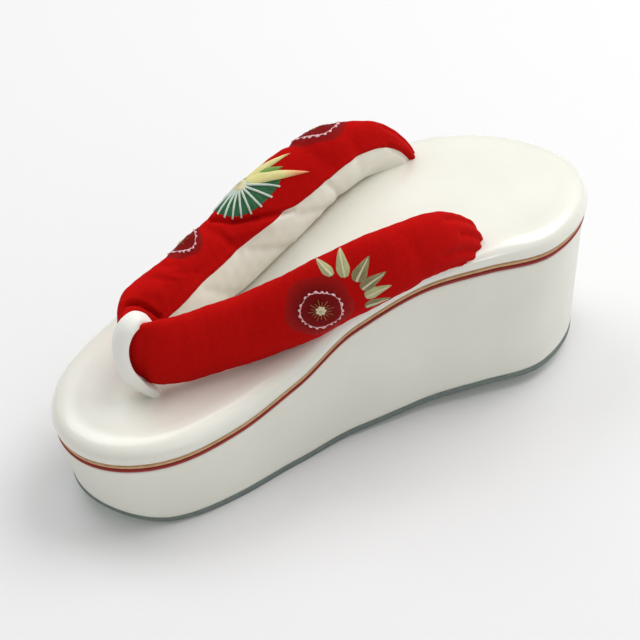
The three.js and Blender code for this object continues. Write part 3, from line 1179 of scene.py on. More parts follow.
@dataclass
class StrapForm:
    """Skin of the padded strap, addressed by length along its course and girth round its section."""

    form: SoleForm
    stations: int = 481
    around: int = 361
    sections: Table = Table(
        "along side rise lean width thick",
        (-57, 29.5, -8.0, 14, 15, 8),
        (-50, 32.0, 2.5, 14, 19, 9.5),
        (-36, 36.0, 12.0, 14, 25, 12.5),
        (-15, 38.0, 16.5, 12, 29, 14.5),
        (5, 34.5, 17.0, 10, 30, 15),
        (30, 26.5, 17.0, 10, 30, 15),
        (55, 20.5, 17.0, 8, 30, 13.5),
        (75, 17.5, 18.1, 3, 31.2, 10.9),
        (84, 9.5, 19.0, -3, 27, 7.5),
        (77, -0.5, 19.5, -15, 32, 12.5),
        (56, -9.5, 18.5, -18, 33.5, 14.5),
        (30, -19.0, 17.5, -22, 34, 15),
        (5, -24.0, 17.5, -24, 34, 15.5),
        (-18, -28.5, 17.0, -18, 32, 15),
        (-38, -32.0, 12.0, -6, 26, 12.5),
        (-51, -34.0, 2.5, 2, 19, 9.5),
        (-58, -35.0, -8.0, 4, 15, 8),
        by_row=True,
    )
    # Troughs, and ridges where deep is below zero. row and turn give both ends.
    creases: Table = Table(
        "row0 turn0 row1 turn1 wide deep",
        (11.04, 8, 11.30, 52, 1.2, 1.8),
        (11.30, 52, 11.62, 76, 1.0, 2.8),
        (11.62, 76, 12.05, 104, 1.2, 2.0),
        (11.12, 64, 11.70, 94, 2.6, -0.8),
        (11.40, 36, 11.80, 66, 3.0, -0.4),
        (8.50, -14, 8.76, 20, 0.9, 2.4),
        (8.76, 20, 9.06, 50, 0.8, 3.0),
        (9.06, 50, 9.32, 88, 0.9, 2.6),
        (9.10, 14, 9.50, 52, 3.0, -0.8),
        (9.75, 60, 10.30, 72, 3.4, 0.4),
        (9.52, 22, 9.92, 60, 1.5, 0.5),
        (9.80, 8, 10.08, 40, 1.6, 0.45),
        (9.98, 44, 10.34, 74, 1.8, 0.5),
        (10.90, 30, 11.06, 84, 2.4, 0.6),
        (12.70, 20, 12.95, 84, 3.0, 0.6),
        (12.62, -20, 12.72, 20, 1.6, 0.9),
        (13.40, 10, 13.70, 120, 3.0, 0.7),
        (14.10, -150, 14.30, -40, 2.4, 0.6),
        (14.30, 20, 15.60, 14, 1.5, 1.1),
        (14.45, -36, 15.60, -48, 1.5, 1.1),
        (14.25, -84, 15.60, -92, 1.6, 1.0),
        (14.50, -128, 15.60, -136, 1.4, 0.9),
        (14.40, 66, 15.60, 62, 1.4, 0.9),
        (1.70, 24, 0.40, 18, 1.5, 1.0),
        (1.95, -34, 0.40, -30, 1.5, 1.1),
        (1.60, -72, 0.40, -70, 1.4, 1.0),
        (2.05, -108, 0.40, -104, 1.6, 1.1),
        (1.65, -146, 0.40, -142, 1.4, 0.9),
        (2.50, -150, 2.75, -40, 3.0, 0.5),
        (5.30, -60, 5.75, -140, 3.6, 0.35),
        (6.60, -40, 6.90, -150, 3.2, 0.5),
        (7.40, -40, 7.55, -150, 1.8, 0.8),
        (12.10, 118, 12.60, 158, 2.2, 0.8),
        (12.80, 108, 13.05, 160, 2.0, 0.9),
        (11.20, 100, 11.65, 160, 2.2, 0.7),
        (10.30, 100, 10.70, 150, 2.4, 0.6),
    )
    # Swells of the stuffing and small puckers: two crossed sines, with their turns per millimetre.
    waves: Table = Table(
        "deep along1 round1 along2 round2",
        (0.22, 0.23, 0.11, -0.05, 0.19),
        (0.09, 0.9, 0.5, -0.27, 0.42),
    )

    def __post_init__(self) -> None:
        """Work out the course, the length along it and the girth of each section."""
        self.share = np.linspace(0, 1, self.stations)
        self.knots = self.form.knots(self.sections)
        self.last = len(self.knots) - 1
        self.middle = smooth_course(self.knots, self.share)
        steps = np.linalg.norm(np.diff(self.middle, axis=0), axis=1)
        self.length = np.concatenate(([0], np.cumsum(steps)))
        turn = np.linspace(-np.pi, np.pi, self.around)
        half_wide, half_thick = self.half_sizes(self.share)
        speed = np.hypot(half_wide[:, None] * np.sin(turn), half_thick[:, None] * np.cos(turn))
        pieces = (speed[:, 1:] + speed[:, :-1]) / 2 * np.diff(turn)
        self.girth = np.concatenate([np.zeros((self.stations, 1)), np.cumsum(pieces, axis=1)], axis=1)
        self.girth -= self.girth[:, self.around // 2, None]
        self.half_girth = self.girth[:, -1]
        fraction = np.linspace(-1, 1, self.around)
        self.turn_table = np.stack([np.interp(fraction * g[-1], g, turn) for g in self.girth])

    def half_sizes(self, share: Array) -> tuple[Array, Array]:
        """Return half the width and half the thickness at shares of the course."""
        row = share * self.last
        return self.sections.read("width", row) / 2, self.sections.read("thick", row) / 2

    def look_up(self, table: Array, share: Array, column: Array) -> Array:
        """Read a table of stations and columns between its four nearest cells.

        Args:
            table: one row for each station.
            share: share of the course.
            column: share of the columns.

        Returns:
            One value for each share.
        """
        i = np.clip(share, 0, 1) * (table.shape[0] - 1)
        j = np.clip(column, 0, 1) * (table.shape[1] - 1)
        i0 = np.clip(i.astype(int), 0, table.shape[0] - 2)
        j0 = np.clip(j.astype(int), 0, table.shape[1] - 2)
        u, v = i - i0, j - j0
        low = table[i0, j0] * (1 - v) + table[i0, j0 + 1] * v
        high = table[i0 + 1, j0] * (1 - v) + table[i0 + 1, j0 + 1] * v
        return low * (1 - u) + high * u

    def girth_at(self, share: Array, turn: Array) -> Array:
        """Girth at a turn of the section, which may pass half a turn.

        Args:
            share: share of the course.
            turn: turn round the section, in radians.

        Returns:
            Length round the section, from its top edge.
        """
        lap = np.round(turn / (2 * np.pi))
        place = (turn - 2 * np.pi * lap + np.pi) / (2 * np.pi)
        half = np.interp(share, self.share, self.half_girth)
        return self.look_up(self.girth, share, place) + 2 * half * lap

    def spot(self, row: float, turn_degrees: float) -> Array:
        """Place on the skin.

        Args:
            row: row of the section table, between two rows too.
            turn_degrees: turn round the section.

        Returns:
            Length along the course and girth.
        """
        share = np.array([row / self.last])
        girth = self.girth_at(share, np.radians([turn_degrees]))
        return np.array([np.interp(share[0], self.share, self.length), girth[0]])

    def skin(self, length: Array, girth: Array, lift: Any = 0.0) -> Array:
        """Points of the skin.

        The section is an ellipse that stands on the course with its long axis leaning; girth
        runs from its top edge, and the skin moves along the ellipse's normal by the lift less
        the depth of the creases.

        Args:
            length: length along the course.
            girth: length round the section, above zero toward the inside of the fork.
            lift: distance above the skin.

        Returns:
            Points, with the shape of the input and one more axis.
        """
        shape = np.broadcast(length, girth).shape
        length, girth = (np.broadcast_to(a, shape).ravel() for a in (length, girth))
        share = np.interp(length, self.length, self.share)
        half = np.interp(share, self.share, self.half_girth)
        girth = (girth + half) % (2 * half) - half
        turn = self.look_up(self.turn_table, share, (girth / half + 1) / 2)
        way = course_way(self.knots, share)
        up = np.array([0.0, 0.0, 1.0])
        inward = unit(np.cross(way, up))
        lean = np.radians(self.sections.read("lean", share * self.last))[:, None]
        across = up * np.cos(lean) + inward * np.sin(lean)
        across = unit(across - way * np.sum(across * way, axis=1, keepdims=True))
        inside = np.cross(way, across)
        half_wide, half_thick = self.half_sizes(share)
        cos, sin = np.cos(turn), np.sin(turn)
        middle = smooth_course(self.knots, share)
        point = middle + across * (half_wide * cos)[:, None] + inside * (half_thick * sin)[:, None]
        normal = unit(across * (cos / half_wide)[:, None] + inside * (sin / half_thick)[:, None])
        out = np.broadcast_to(lift, shape).ravel() - self.press(length, girth)
        return (point + normal * out[:, None]).reshape(*shape, 3)

    def press(self, length: Array, girth: Array) -> Array:
        """Depth of the creases: a bell across each line, the deepest trough less all ridges, and the waves.

        Args:
            length: length along the course.
            girth: length round the section.

        Returns:
            Distance under the skin.
        """
        trough, other = np.zeros(len(length)), np.zeros(len(length))
        for row0, turn0, row1, turn1, wide, deep in self.creases.cells:
            start, end = self.spot(row0, turn0), self.spot(row1, turn1)
            run = end - start
            offset = np.stack([length - start[0], girth - start[1]], axis=-1)
            share = np.clip(offset @ run / (run @ run), 0, 1)
            apart = np.linalg.norm(offset - share[:, None] * run, axis=1)
            if deep > 0:
                trough = np.maximum(trough, deep * bell(apart, wide))
            else:
                other += deep * bell(apart, wide)
        for deep, along1, round1, along2, round2 in self.waves.cells:
            first = np.sin(along1 * length + round1 * girth)
            other += deep * first * np.sin(along2 * length + round2 * girth)
        return trough + other


@dataclass
class Strap:
    """Padded strap: red crepe round the outside, a white lining let in on the foot's side."""

    skin: StrapForm
    stations: int = 620
    cover_columns: int = 118
    lining_columns: int = 30
    rim_spread: float = 0.1
    roll_high: float = 0.35
    roll_in: float = 2.2
    roll_wide: float = 1.4
    hem_deep: float = 0.9
    hem_wide: float = 0.7
    tuck: float = 0.9
    lining_sunk: float = 0.45
    # Turns of the section where the lining's upper and lower edges lie.
    seams: Table = Table(
        "row upper lower",
        (0.0, 50, 130), (2.0, 46, 140), (4.0, 48, 146), (6.0, 54, 140), (7.4, 66, 120),
        (8.2, 80, 108), (9.0, 104, 140), (9.7, 96, 178), (10.4, 87, 184), (10.9, 87, 184),
        (11.5, 93, 184), (12.4, 104, 184), (12.8, 103, 184), (13.25, 95, 182), (14.5, 72, 164),
        (16.0, 60, 130),
    )

    def edges(self) -> tuple[Array, Array, Array, Array]:
        """Lie of both seams.

        Returns:
            Lengths along the strap, the girths of the upper and the lower seam, half the girth there.
        """
        length = np.linspace(self.skin.length[0], self.skin.length[-1], self.stations)
        share = np.interp(length, self.skin.length, self.skin.share)
        half = np.interp(share, self.skin.share, self.skin.half_girth)
        upper, lower = (
            self.skin.girth_at(share, np.radians(self.seams.read(name, share * self.skin.last)))
            for name in ("upper", "lower")
        )
        return length, upper, lower, half

    def build(self) -> list[bpy.types.Object]:
        """Return the cover and the lining."""
        return [self.cover(), self.lining()]

    def cover(self) -> bpy.types.Object:
        """Cover: the skin from the lower seam round the outside to the upper seam, its hems turned in.

        Returns:
            The finished cover.
        """
        length, upper, lower, half = self.edges()
        bend = np.linspace(self.rim_spread, np.pi - self.rim_spread, self.cover_columns)
        share = 0.5 - 0.5 * np.cos(bend)
        share = (share - share[0]) / (share[-1] - share[0])
        start = (lower - 2 * half)[:, None]
        girth = start + (upper[:, None] - start) * share
        rim = np.minimum(girth - start, upper[:, None] - girth)
        roll = self.roll_high * bell(rim - self.roll_in, self.roll_wide)
        points = self.skin.skin(length[:, None], girth, roll - self.hem_deep * bell(rim, self.hem_wide))
        piece = self.sheet("strap_cover", points, length, girth, CREPE, ["strap"])
        return piece

    def lining(self) -> bpy.types.Object:
        """Lining: the skin between the seams, sunk a little and tucked under the hems.

        Returns:
            The finished lining.
        """
        length, upper, lower, _ = self.edges()
        share = np.linspace(0, 1, self.lining_columns)
        girth = (upper - self.tuck)[:, None] + (lower - upper + 2 * self.tuck)[:, None] * share
        points = self.skin.skin(length[:, None], girth, -self.lining_sunk)
        return self.sheet("strap_lining", points, length, girth, LINING)

    def sheet(
        self,
        name: str,
        points: Array,
        length: Array,
        girth: Array,
        finish: Finish,
        replaces: Sequence[str] = (),
    ) -> bpy.types.Object:
        """Place a strip of the skin, with length and girth as its texture places.

        Args:
            name: the piece's name.
            points: its surface.
            length: length along the strap for each row.
            girth: girth of each point.
            finish: its material.
            replaces: solids that it stands for.

        Returns:
            The piece.
        """
        uv = np.stack([np.broadcast_to(length[:, None], girth.shape), girth], axis=-1)
        mesh = make_mesh(name, [Grid(points, uv=uv)], closed=False)
        return place_piece(name, mesh, [finish], replaces)


@dataclass
class Embroidery:
    """Stitched plum blossoms, bamboo leaves and a pine fan, raised on the strap's skin."""

    skin: StrapForm
    # Discs of stitches: rows outward, share where these start, threads across, depth of the edge.
    disc_rows: int = 16
    disc_start: float = 0.02
    disc_threads: float = 0.6
    disc_sunk: float = 0.1
    # Plum blossoms: petals, the knotted thread on them, the stamens and the heart.
    petal_rise: float = 0.4
    petal_power: int = 4
    petal_columns: int = 151
    lobe_deep: float = 0.1
    ring_radius: float = 8.0
    ring_thick: float = 0.17
    ring_rows: int = 421
    ring_knots: int = 21
    knot_out: float = 0.2
    knot_thick: float = 0.36
    # Unevenness of the knotted thread: size of each sine, its waves round the ring and its start.
    knot_drift: tuple[Triple, ...] = ((1.3, 3, 0), (0.9, 8, 1))
    radius_sway: Triple = (0.16, 5, 0)
    thick_sway: Triple = (0.07, 4, 0)
    stamen_count: int = 17
    stamen_span: Span = (1.8, 3.9)
    stamen_longer: float = 1.1
    stamen_thick: float = 0.2
    stamen_rows: int = 12
    heart_radius: float = 1.9
    heart_knobs: Span = (0.12, 7)
    heart_rise: Span = (0.3, 0.8)
    # The pine fan: place of its hub, the green sector, the needles and the hub.
    fan: Span = (11.75, 7.0)
    fan_radius: float = 17.6
    fan_even: float = 0.97
    fan_skew: float = 0.13
    fan_squeeze: float = 0.72
    fan_span: Span = (33.0, 305.0)
    fan_columns: int = 201
    fan_rise: float = 0.45
    fan_power: int = 8
    needle_every: int = 12
    needle_from: float = 1.5
    needle_past: float = 0.5
    needle_thick: Span = (0.5, 0.4)
    needle_rows: int = 14
    needle_rise: float = 0.42
    hub_radius: float = 2.7
    hub_columns: int = 61
    hub_rise: Span = (0.5, 0.6)
    # Leaves: their widest place, blunt foot, drawn-out tip, slant of the threads and dome.
    leaf_rise: float = 0.6
    leaf_rows: int = 30
    leaf_columns: int = 11
    leaf_widest: float = 0.3
    leaf_foot: float = 0.03
    leaf_taper: float = 0.68
    leaf_power: float = 0.75
    leaf_slant: float = 1.2
    leaf_end: float = 0.04
    leaf_blunt: float = 0.3
    leaf_arch: float = 0.96
    leaf_sunk: float = 0.12
    rib_span: Span = (0.05, 0.9)
    rib_thick: Span = (0.5, 0.2)
    rib_rows: int = 18
    thread_columns: int = 7
    thread_sunk: float = 0.15
    # Middles of the blossoms, the radius of the petals and how far these stand off the middle.
    blossoms: Table = Table(
        "row turn back petal off_length off_girth",
        (4.38, -98, 0.0, 15.0, 0.4, 1.4),
        (10.45, 0, -3.6, 12.2, 0.0, 0.0),
        (13.10, 0, -4.2, 12.6, 0.0, 0.0),
    )
    # Bamboo leaves round the inner blossom, from foot to tip; the tone is 0 pale, 1 olive.
    leaves: Table = Table(
        "row0 turn0 row1 turn1 wide tone",
        (4.03, -54, 4.12, 2, 3.7, 0),
        (3.87, -66, 3.72, 2, 5.2, 0),
        (3.74, -80, 3.36, -50, 5.6, 1),
        (3.72, -95, 3.22, -86, 5.6, 1),
        (3.73, -110, 3.22, -114, 5.6, 0),
        (3.82, -130, 3.32, -146, 5.0, 1),
    )
    # Leaves over the pine fan, from foot to tip; the tone is 0 straw, 1 green.
    straws: Table = Table(
        "row0 turn0 row1 turn1 wide rise tone",
        (11.80, 8, 12.62, 73, 5.0, 1.15, 0),
        (11.86, 4, 12.57, 28, 3.6, 1.1, 0),
        (12.00, 18, 12.36, 42, 3.4, 0.95, 1),
    )

    def lay(self, local: Array, centre: Array, lift: Array) -> Array:
        """Return points of the skin for flat places round a centre, raised by the lift."""
        return self.skin.skin(centre[0] + local[..., 0], centre[1] + local[..., 1], lift)

    def polar(self, radius: Any, turn: Any, squeeze: float = 1.0) -> Array:
        """Return flat places from radius and turn, squeezed in girth."""
        places = np.broadcast_arrays(radius * np.cos(turn), squeeze * radius * np.sin(turn))
        return np.stack(places, axis=-1)

    def shares(self) -> Array:
        """Return the shares of the radius at the rows of a disc."""
        return np.linspace(self.disc_start, 1, self.disc_rows)[:, None]

    def flat(self, high: float, power: int) -> Array:
        """Return the rise of a flat disc, whose edge falls below the skin."""
        return high * (1 - self.shares() ** power) - self.disc_sunk

    def ball(self, foot: float, high: float) -> Array:
        """Return the rise of a half ball that stands on a foot."""
        return foot + high * np.sqrt(1 - self.shares() ** 2)

    def disc(self, centre: Array, turn: Array, edge: Array, rise: Array, squeeze: float = 1.0) -> Grid:
        """Stitched disc: radius is the edge's radius times a share of it, raised row by row.

        Args:
            centre: length and girth of the middle.
            turn: turns from its first to its last side.
            edge: radius at those turns.
            rise: lift of each row.
            squeeze: how the disc is drawn in across the strap.

        Returns:
            A grid whose rows run outward.
        """
        radius = self.shares() * edge
        uv = np.stack(np.broadcast_arrays(radius, turn * edge.mean() * self.disc_threads), axis=-1)
        lift = np.broadcast_to(rise, radius.shape)
        return Grid(self.lay(self.polar(radius, turn, squeeze), centre, lift), uv=uv)

    def leaf(self, start: Array, end: Array, wide: float, rise: float) -> Grid:
        """Leaf: blunt at its foot, widest in its first third, drawn out to a point, domed across.

        Args:
            start: length and girth of its foot.
            end: length and girth of its tip.
            wide: its breadth.
            rise: its height above the skin.

        Returns:
            A grid whose rows run from foot to tip.
        """
        long = np.linalg.norm(end - start)
        way = (end - start) / long
        across = np.array([-way[1], way[0]])
        u = np.linspace(0, 1, self.leaf_rows)[:, None]
        v = np.linspace(-1, 1, self.leaf_columns)[None, :]
        swelling = 0.5 + 0.5 * np.sin(np.pi / 2 * np.minimum(u / self.leaf_widest, 1))
        foot = np.sqrt(np.clip(u / self.leaf_foot, 0, 1))
        tip = np.clip((1 - u) / self.leaf_taper, 0, 1) ** self.leaf_power
        breadth = wide / 2 * swelling * foot * tip
        local = (u * long)[..., None] * way + (v * breadth)[..., None] * across
        uv = np.stack([u * long + 0 * v, v * breadth + u * self.leaf_slant], axis=-1)
        ends = np.sin(np.pi * (self.leaf_end + (1 - 2 * self.leaf_end) * u)) ** self.leaf_blunt
        dome = ends * np.sqrt(1 - self.leaf_arch * v ** 2)
        return Grid(self.lay(local, start, rise * dome - self.leaf_sunk), uv=uv)

    def thread(self, local: Array, centre: Array, thick: Any, rise: float) -> Grid:
        """Raised thread: a half round carried along a path on the skin.

        Args:
            local: flat places of the path.
            centre: length and girth that they are counted from.
            thick: half the thread's breadth, one number or one for each place.
            rise: height of its foot.

        Returns:
            A grid whose rows run along the thread.
        """
        way = unit(np.gradient(local, axis=0))
        across = np.stack([-way[:, 1], way[:, 0]], axis=-1)
        turn = np.linspace(0, np.pi, self.thread_columns)
        thick = np.broadcast_to(thick, len(local))[:, None]
        flat = local[:, None, :] + across[:, None, :] * (np.cos(turn) * thick)[..., None]
        lift = rise + np.sin(turn) * thick - self.thread_sunk
        reach = np.concatenate(([0], np.cumsum(np.linalg.norm(np.diff(local, axis=0), axis=1))))
        uv = np.stack(np.broadcast_arrays(reach[:, None], turn * thick), axis=-1)
        return Grid(self.lay(flat, centre, lift), uv=uv)

    def petals(self, centre: Array, petal: float) -> Grid:
        """Five petals: a flat disc whose radius follows the cosine of the turn.

        Args:
            centre: length and girth of their middle.
            petal: their radius.

        Returns:
            A grid whose rows run outward.
        """
        turn = np.linspace(0, 2 * np.pi, self.petal_columns)
        edge = petal * (1 - self.lobe_deep + self.lobe_deep * np.abs(np.cos(2.5 * turn)))
        return self.disc(centre, turn, edge, self.flat(self.petal_rise, self.petal_power))

    def beads(self, centre: Array) -> Grid:
        """Knotted thread round a blossom: a circle whose radius and thickness follow an uneven wave.

        Args:
            centre: length and girth of its middle.

        Returns:
            A grid whose rows run round the circle.
        """
        wind = np.linspace(0, 2 * np.pi, self.ring_rows)
        *drift, sway, swelling = (
            size * np.sin(waves * wind + start)
            for size, waves, start in (*self.knot_drift, self.radius_sway, self.thick_sway)
        )
        wave = np.cos(self.ring_knots * wind + sum(drift))
        radius = self.ring_radius + self.knot_out * wave + sway
        thick = self.ring_thick + self.knot_thick * np.clip(wave, 0, 1) + swelling
        return self.thread(self.polar(radius, wind), centre, thick, self.petal_rise)

    def stamens(self, centre: Array) -> list[Grid]:
        """Short stitches that stand about a blossom's heart, each second one longer.

        Args:
            centre: length and girth of the heart.

        Returns:
            One grid for each stitch.
        """
        first, last = self.stamen_span
        made = []
        for k in range(self.stamen_count):
            radius = np.linspace(first, last + self.stamen_longer * (k % 2), self.stamen_rows)
            path = self.polar(radius, 2 * np.pi * k / self.stamen_count)
            made.append(self.thread(path, centre, self.stamen_thick, self.petal_rise))
        return made

    def heart(self, centre: Array) -> Grid:
        """Heart of a blossom: a knobbly half ball.

        Args:
            centre: length and girth of its middle.

        Returns:
            A grid whose rows run outward.
        """
        turn = np.linspace(0, 2 * np.pi, self.petal_columns)
        deep, count = self.heart_knobs
        edge = self.heart_radius * (1 + deep * np.cos(count * turn))
        return self.disc(centre, turn, edge, self.ball(*self.heart_rise))

    def blossom(self, centre: Array, petal: float, off: Array) -> dict[Thread, list[Grid]]:
        """Parts of one plum blossom.

        Args:
            centre: length and girth of its middle.
            petal: radius of its petals.
            off: how far the petals stand off the middle.

        Returns:
            Grids by thread.
        """
        return {
            Thread.PETAL: [self.petals(centre + off, petal)],
            Thread.BEAD: [self.beads(centre)],
            Thread.STAMEN: self.stamens(centre),
            Thread.HEART: [self.heart(centre)],
        }

    def pine(self, centre: Array) -> dict[Thread, list[Grid]]:
        """Pine fan: a green sector, longer to the rear, white needles and a pale hub.

        Args:
            centre: length and girth of its hub.

        Returns:
            Grids by thread.
        """
        turn = np.radians(np.linspace(*self.fan_span, self.fan_columns))
        edge = self.fan_radius * (self.fan_even + self.fan_skew * np.cos(turn))
        green = self.disc(centre, turn, edge, self.flat(self.fan_rise, self.fan_power), self.fan_squeeze)
        spread = slice(self.needle_every // 2, None, self.needle_every)
        thick = np.linspace(*self.needle_thick, self.needle_rows)
        needles = []
        for way, reach in zip(turn[spread], edge[spread]):
            radius = np.linspace(self.needle_from, reach + self.needle_past, self.needle_rows)
            path = self.polar(radius, way, self.fan_squeeze)
            needles.append(self.thread(path, centre, thick, self.needle_rise))
        whole = np.linspace(0, 2 * np.pi, self.hub_columns)
        rim = np.full(self.hub_columns, self.hub_radius)
        hub = self.disc(centre, whole, rim, self.ball(*self.hub_rise))
        return {Thread.PINE: [green], Thread.NEEDLE: needles, Thread.HUB: [hub]}

    def bamboo(self) -> dict[Thread, list[Grid]]:
        """Leaves round the inner blossom, each with a pale rib.

        Returns:
            Grids by thread.
        """
        parts: dict[Thread, list[Grid]] = {Thread.PALE: [], Thread.OLIVE: [], Thread.VEIN: []}
        thick = np.linspace(*self.rib_thick, self.rib_rows)
        for row0, turn0, row1, turn1, wide, tone in self.leaves.cells:
            start, end = self.skin.spot(row0, turn0), self.skin.spot(row1, turn1)
            parts[Thread.OLIVE if tone else Thread.PALE].append(self.leaf(start, end, wide, self.leaf_rise))
            rib = (end - start) * np.linspace(*self.rib_span, self.rib_rows)[:, None]
            parts[Thread.VEIN].append(self.thread(rib, start, thick, self.leaf_rise))
        return parts

    def straw(self) -> dict[Thread, list[Grid]]:
        """Straw leaves over the pine fan and the green one between them.

        Returns:
            Grids by thread.
        """
        parts: dict[Thread, list[Grid]] = {Thread.STRAW: [], Thread.GRASS: []}
        for row0, turn0, row1, turn1, wide, rise, tone in self.straws.cells:
            grid = self.leaf(self.skin.spot(row0, turn0), self.skin.spot(row1, turn1), wide, rise)
            parts[Thread.GRASS if tone else Thread.STRAW].append(grid)
        return parts

    def build(self) -> list[bpy.types.Object]:
        """Gather the grids of all motifs by their thread.

        Returns:
            The stitched pieces, one for each thread.
        """
        parts: dict[Thread, list[Grid]] = {}
        groups = [self.pine(self.skin.spot(*self.fan)), self.bamboo(), self.straw()]
        for row, turn, back, petal, *off in self.blossoms.cells:
            groups.append(self.blossom(self.skin.spot(row, turn) + (0.0, back), petal, np.array(off)))
        for group in groups:
            for thread, grids in group.items():
                parts.setdefault(thread, []).extend(grids)
        return [self.stitch(thread, grids) for thread, grids in parts.items()]

    def stitch(self, thread: Thread, grids: list[Grid]) -> bpy.types.Object:
        """Make one piece of stitches.

        Args:
            thread: its thread.
            grids: its surfaces.

        Returns:
            The piece, its faces turned away from the strap.
        """
        name = f"embroidery_{thread.name.lower()}"
        mesh = make_mesh(name, [self.turned(grid) for grid in grids], closed=False)
        return place_piece(name, mesh, [thread.value])

    def turned(self, grid: Grid) -> Grid:
        """Turn a grid so that its faces look away from the strap's middle line.

        Args:
            grid: a surface on the skin.

        Returns:
            The grid, its columns reversed where they ran the wrong way.
        """
        row, column = grid.points.shape[0] // 2, grid.points.shape[1] // 2
        here = grid.points[row, column]
        normal = np.cross(grid.points[row, column - 1] - here, grid.points[row - 1, column] - here)
        nearest = self.skin.middle[np.argmin(np.linalg.norm(self.skin.middle - here, axis=1))]
        if normal @ (here - nearest) > 0:
            return grid
        return Grid(grid.points[:, ::-1], uv=grid.uv[:, ::-1])


@dataclass
class ToePost:
    """Soft leather band from its hole in the footbed, round the front of the strap and over its top."""

    form: SoleForm
    stations: int = 120
    around: int = 40
    corner_power: float = 3.2
    fold_high: float = 0.16
    fold_across: float = 2.1
    fold_sway: float = 0.6
    fold_along: float = 1.7
    # How far the band's sides bend round the strap, and the rows between which they do.
    hug: float = 2.4
    hug_from: Span = (1.6, 3.2)
    hug_until: Span = (7.6, 9.6)
    sections: Table = Table(
        "along side rise wide thick",
        (79.0, 16.0, -5.5, 6.4, 4.2),
        (80.0, 16.0, -0.5, 6.6, 4.8),
        (83.2, 15.7, 3.3, 7.4, 5.0),
        (87.0, 15.0, 7.4, 8.6, 4.6),
        (90.1, 13.8, 13.8, 9.4, 4.0),
        (91.2, 12.6, 21.0, 9.4, 3.6),
        (90.2, 11.8, 28.0, 9.6, 3.5),
        (86.8, 11.2, 33.2, 9.4, 3.4),
        (82.0, 10.4, 34.6, 8.2, 3.2),
        (78.0, 9.8, 31.4, 6.4, 2.8),
        (75.6, 10.0, 26.5, 4.6, 2.4),
        by_row=True,
    )

    def build(self) -> bpy.types.Object:
        """Band: a rounded oblong carried along the course, hollow to the strap, with soft folds along it.

        Returns:
            The finished toe post.
        """
        knots = self.form.knots(self.sections)
        share = np.linspace(0, 1, self.stations)
        row = share * (len(knots) - 1)
        way = course_way(knots, share)
        sideways = np.array([0.0, 1.0, 0.0])
        flat = unit(sideways - way * (way @ sideways)[:, None])
        inside = np.cross(way, flat)
        turn = np.linspace(0, 2 * np.pi, self.around, endpoint=False)
        power = self.corner_power
        oblong = (np.abs(np.cos(turn)) ** power + np.abs(np.sin(turn)) ** power) ** (-1 / power)
        high = oblong * np.cos(turn) * self.sections.read("wide", row)[:, None] / 2
        deep = oblong * np.sin(turn) * self.sections.read("thick", row)[:, None] / 2
        sway = self.fold_sway * np.sin(row * self.fold_along)[:, None]
        fold = self.fold_high * np.sin(high * self.fold_across + sway) * np.sin(turn)
        held = ease(*self.hug_from, row) * (1 - ease(*self.hug_until, row))
        bent = self.hug * held[:, None] * (oblong * np.cos(turn)) ** 2
        inward = (deep + fold + bent)[..., None]
        middle = smooth_course(knots, share)
        points = middle[:, None] + flat[:, None] * high[..., None] + inside[:, None] * inward
        ends = [points[k].mean(axis=0, keepdims=True).repeat(self.around, axis=0)[None] for k in (0, -1)]
        mesh = make_mesh("toe_post_band", [Grid(np.concatenate([ends[0], points, ends[1]]), True)])
        return place_piece("toe_post_band", mesh, [POST], ["toe_post"])


# The heel lift and its nails


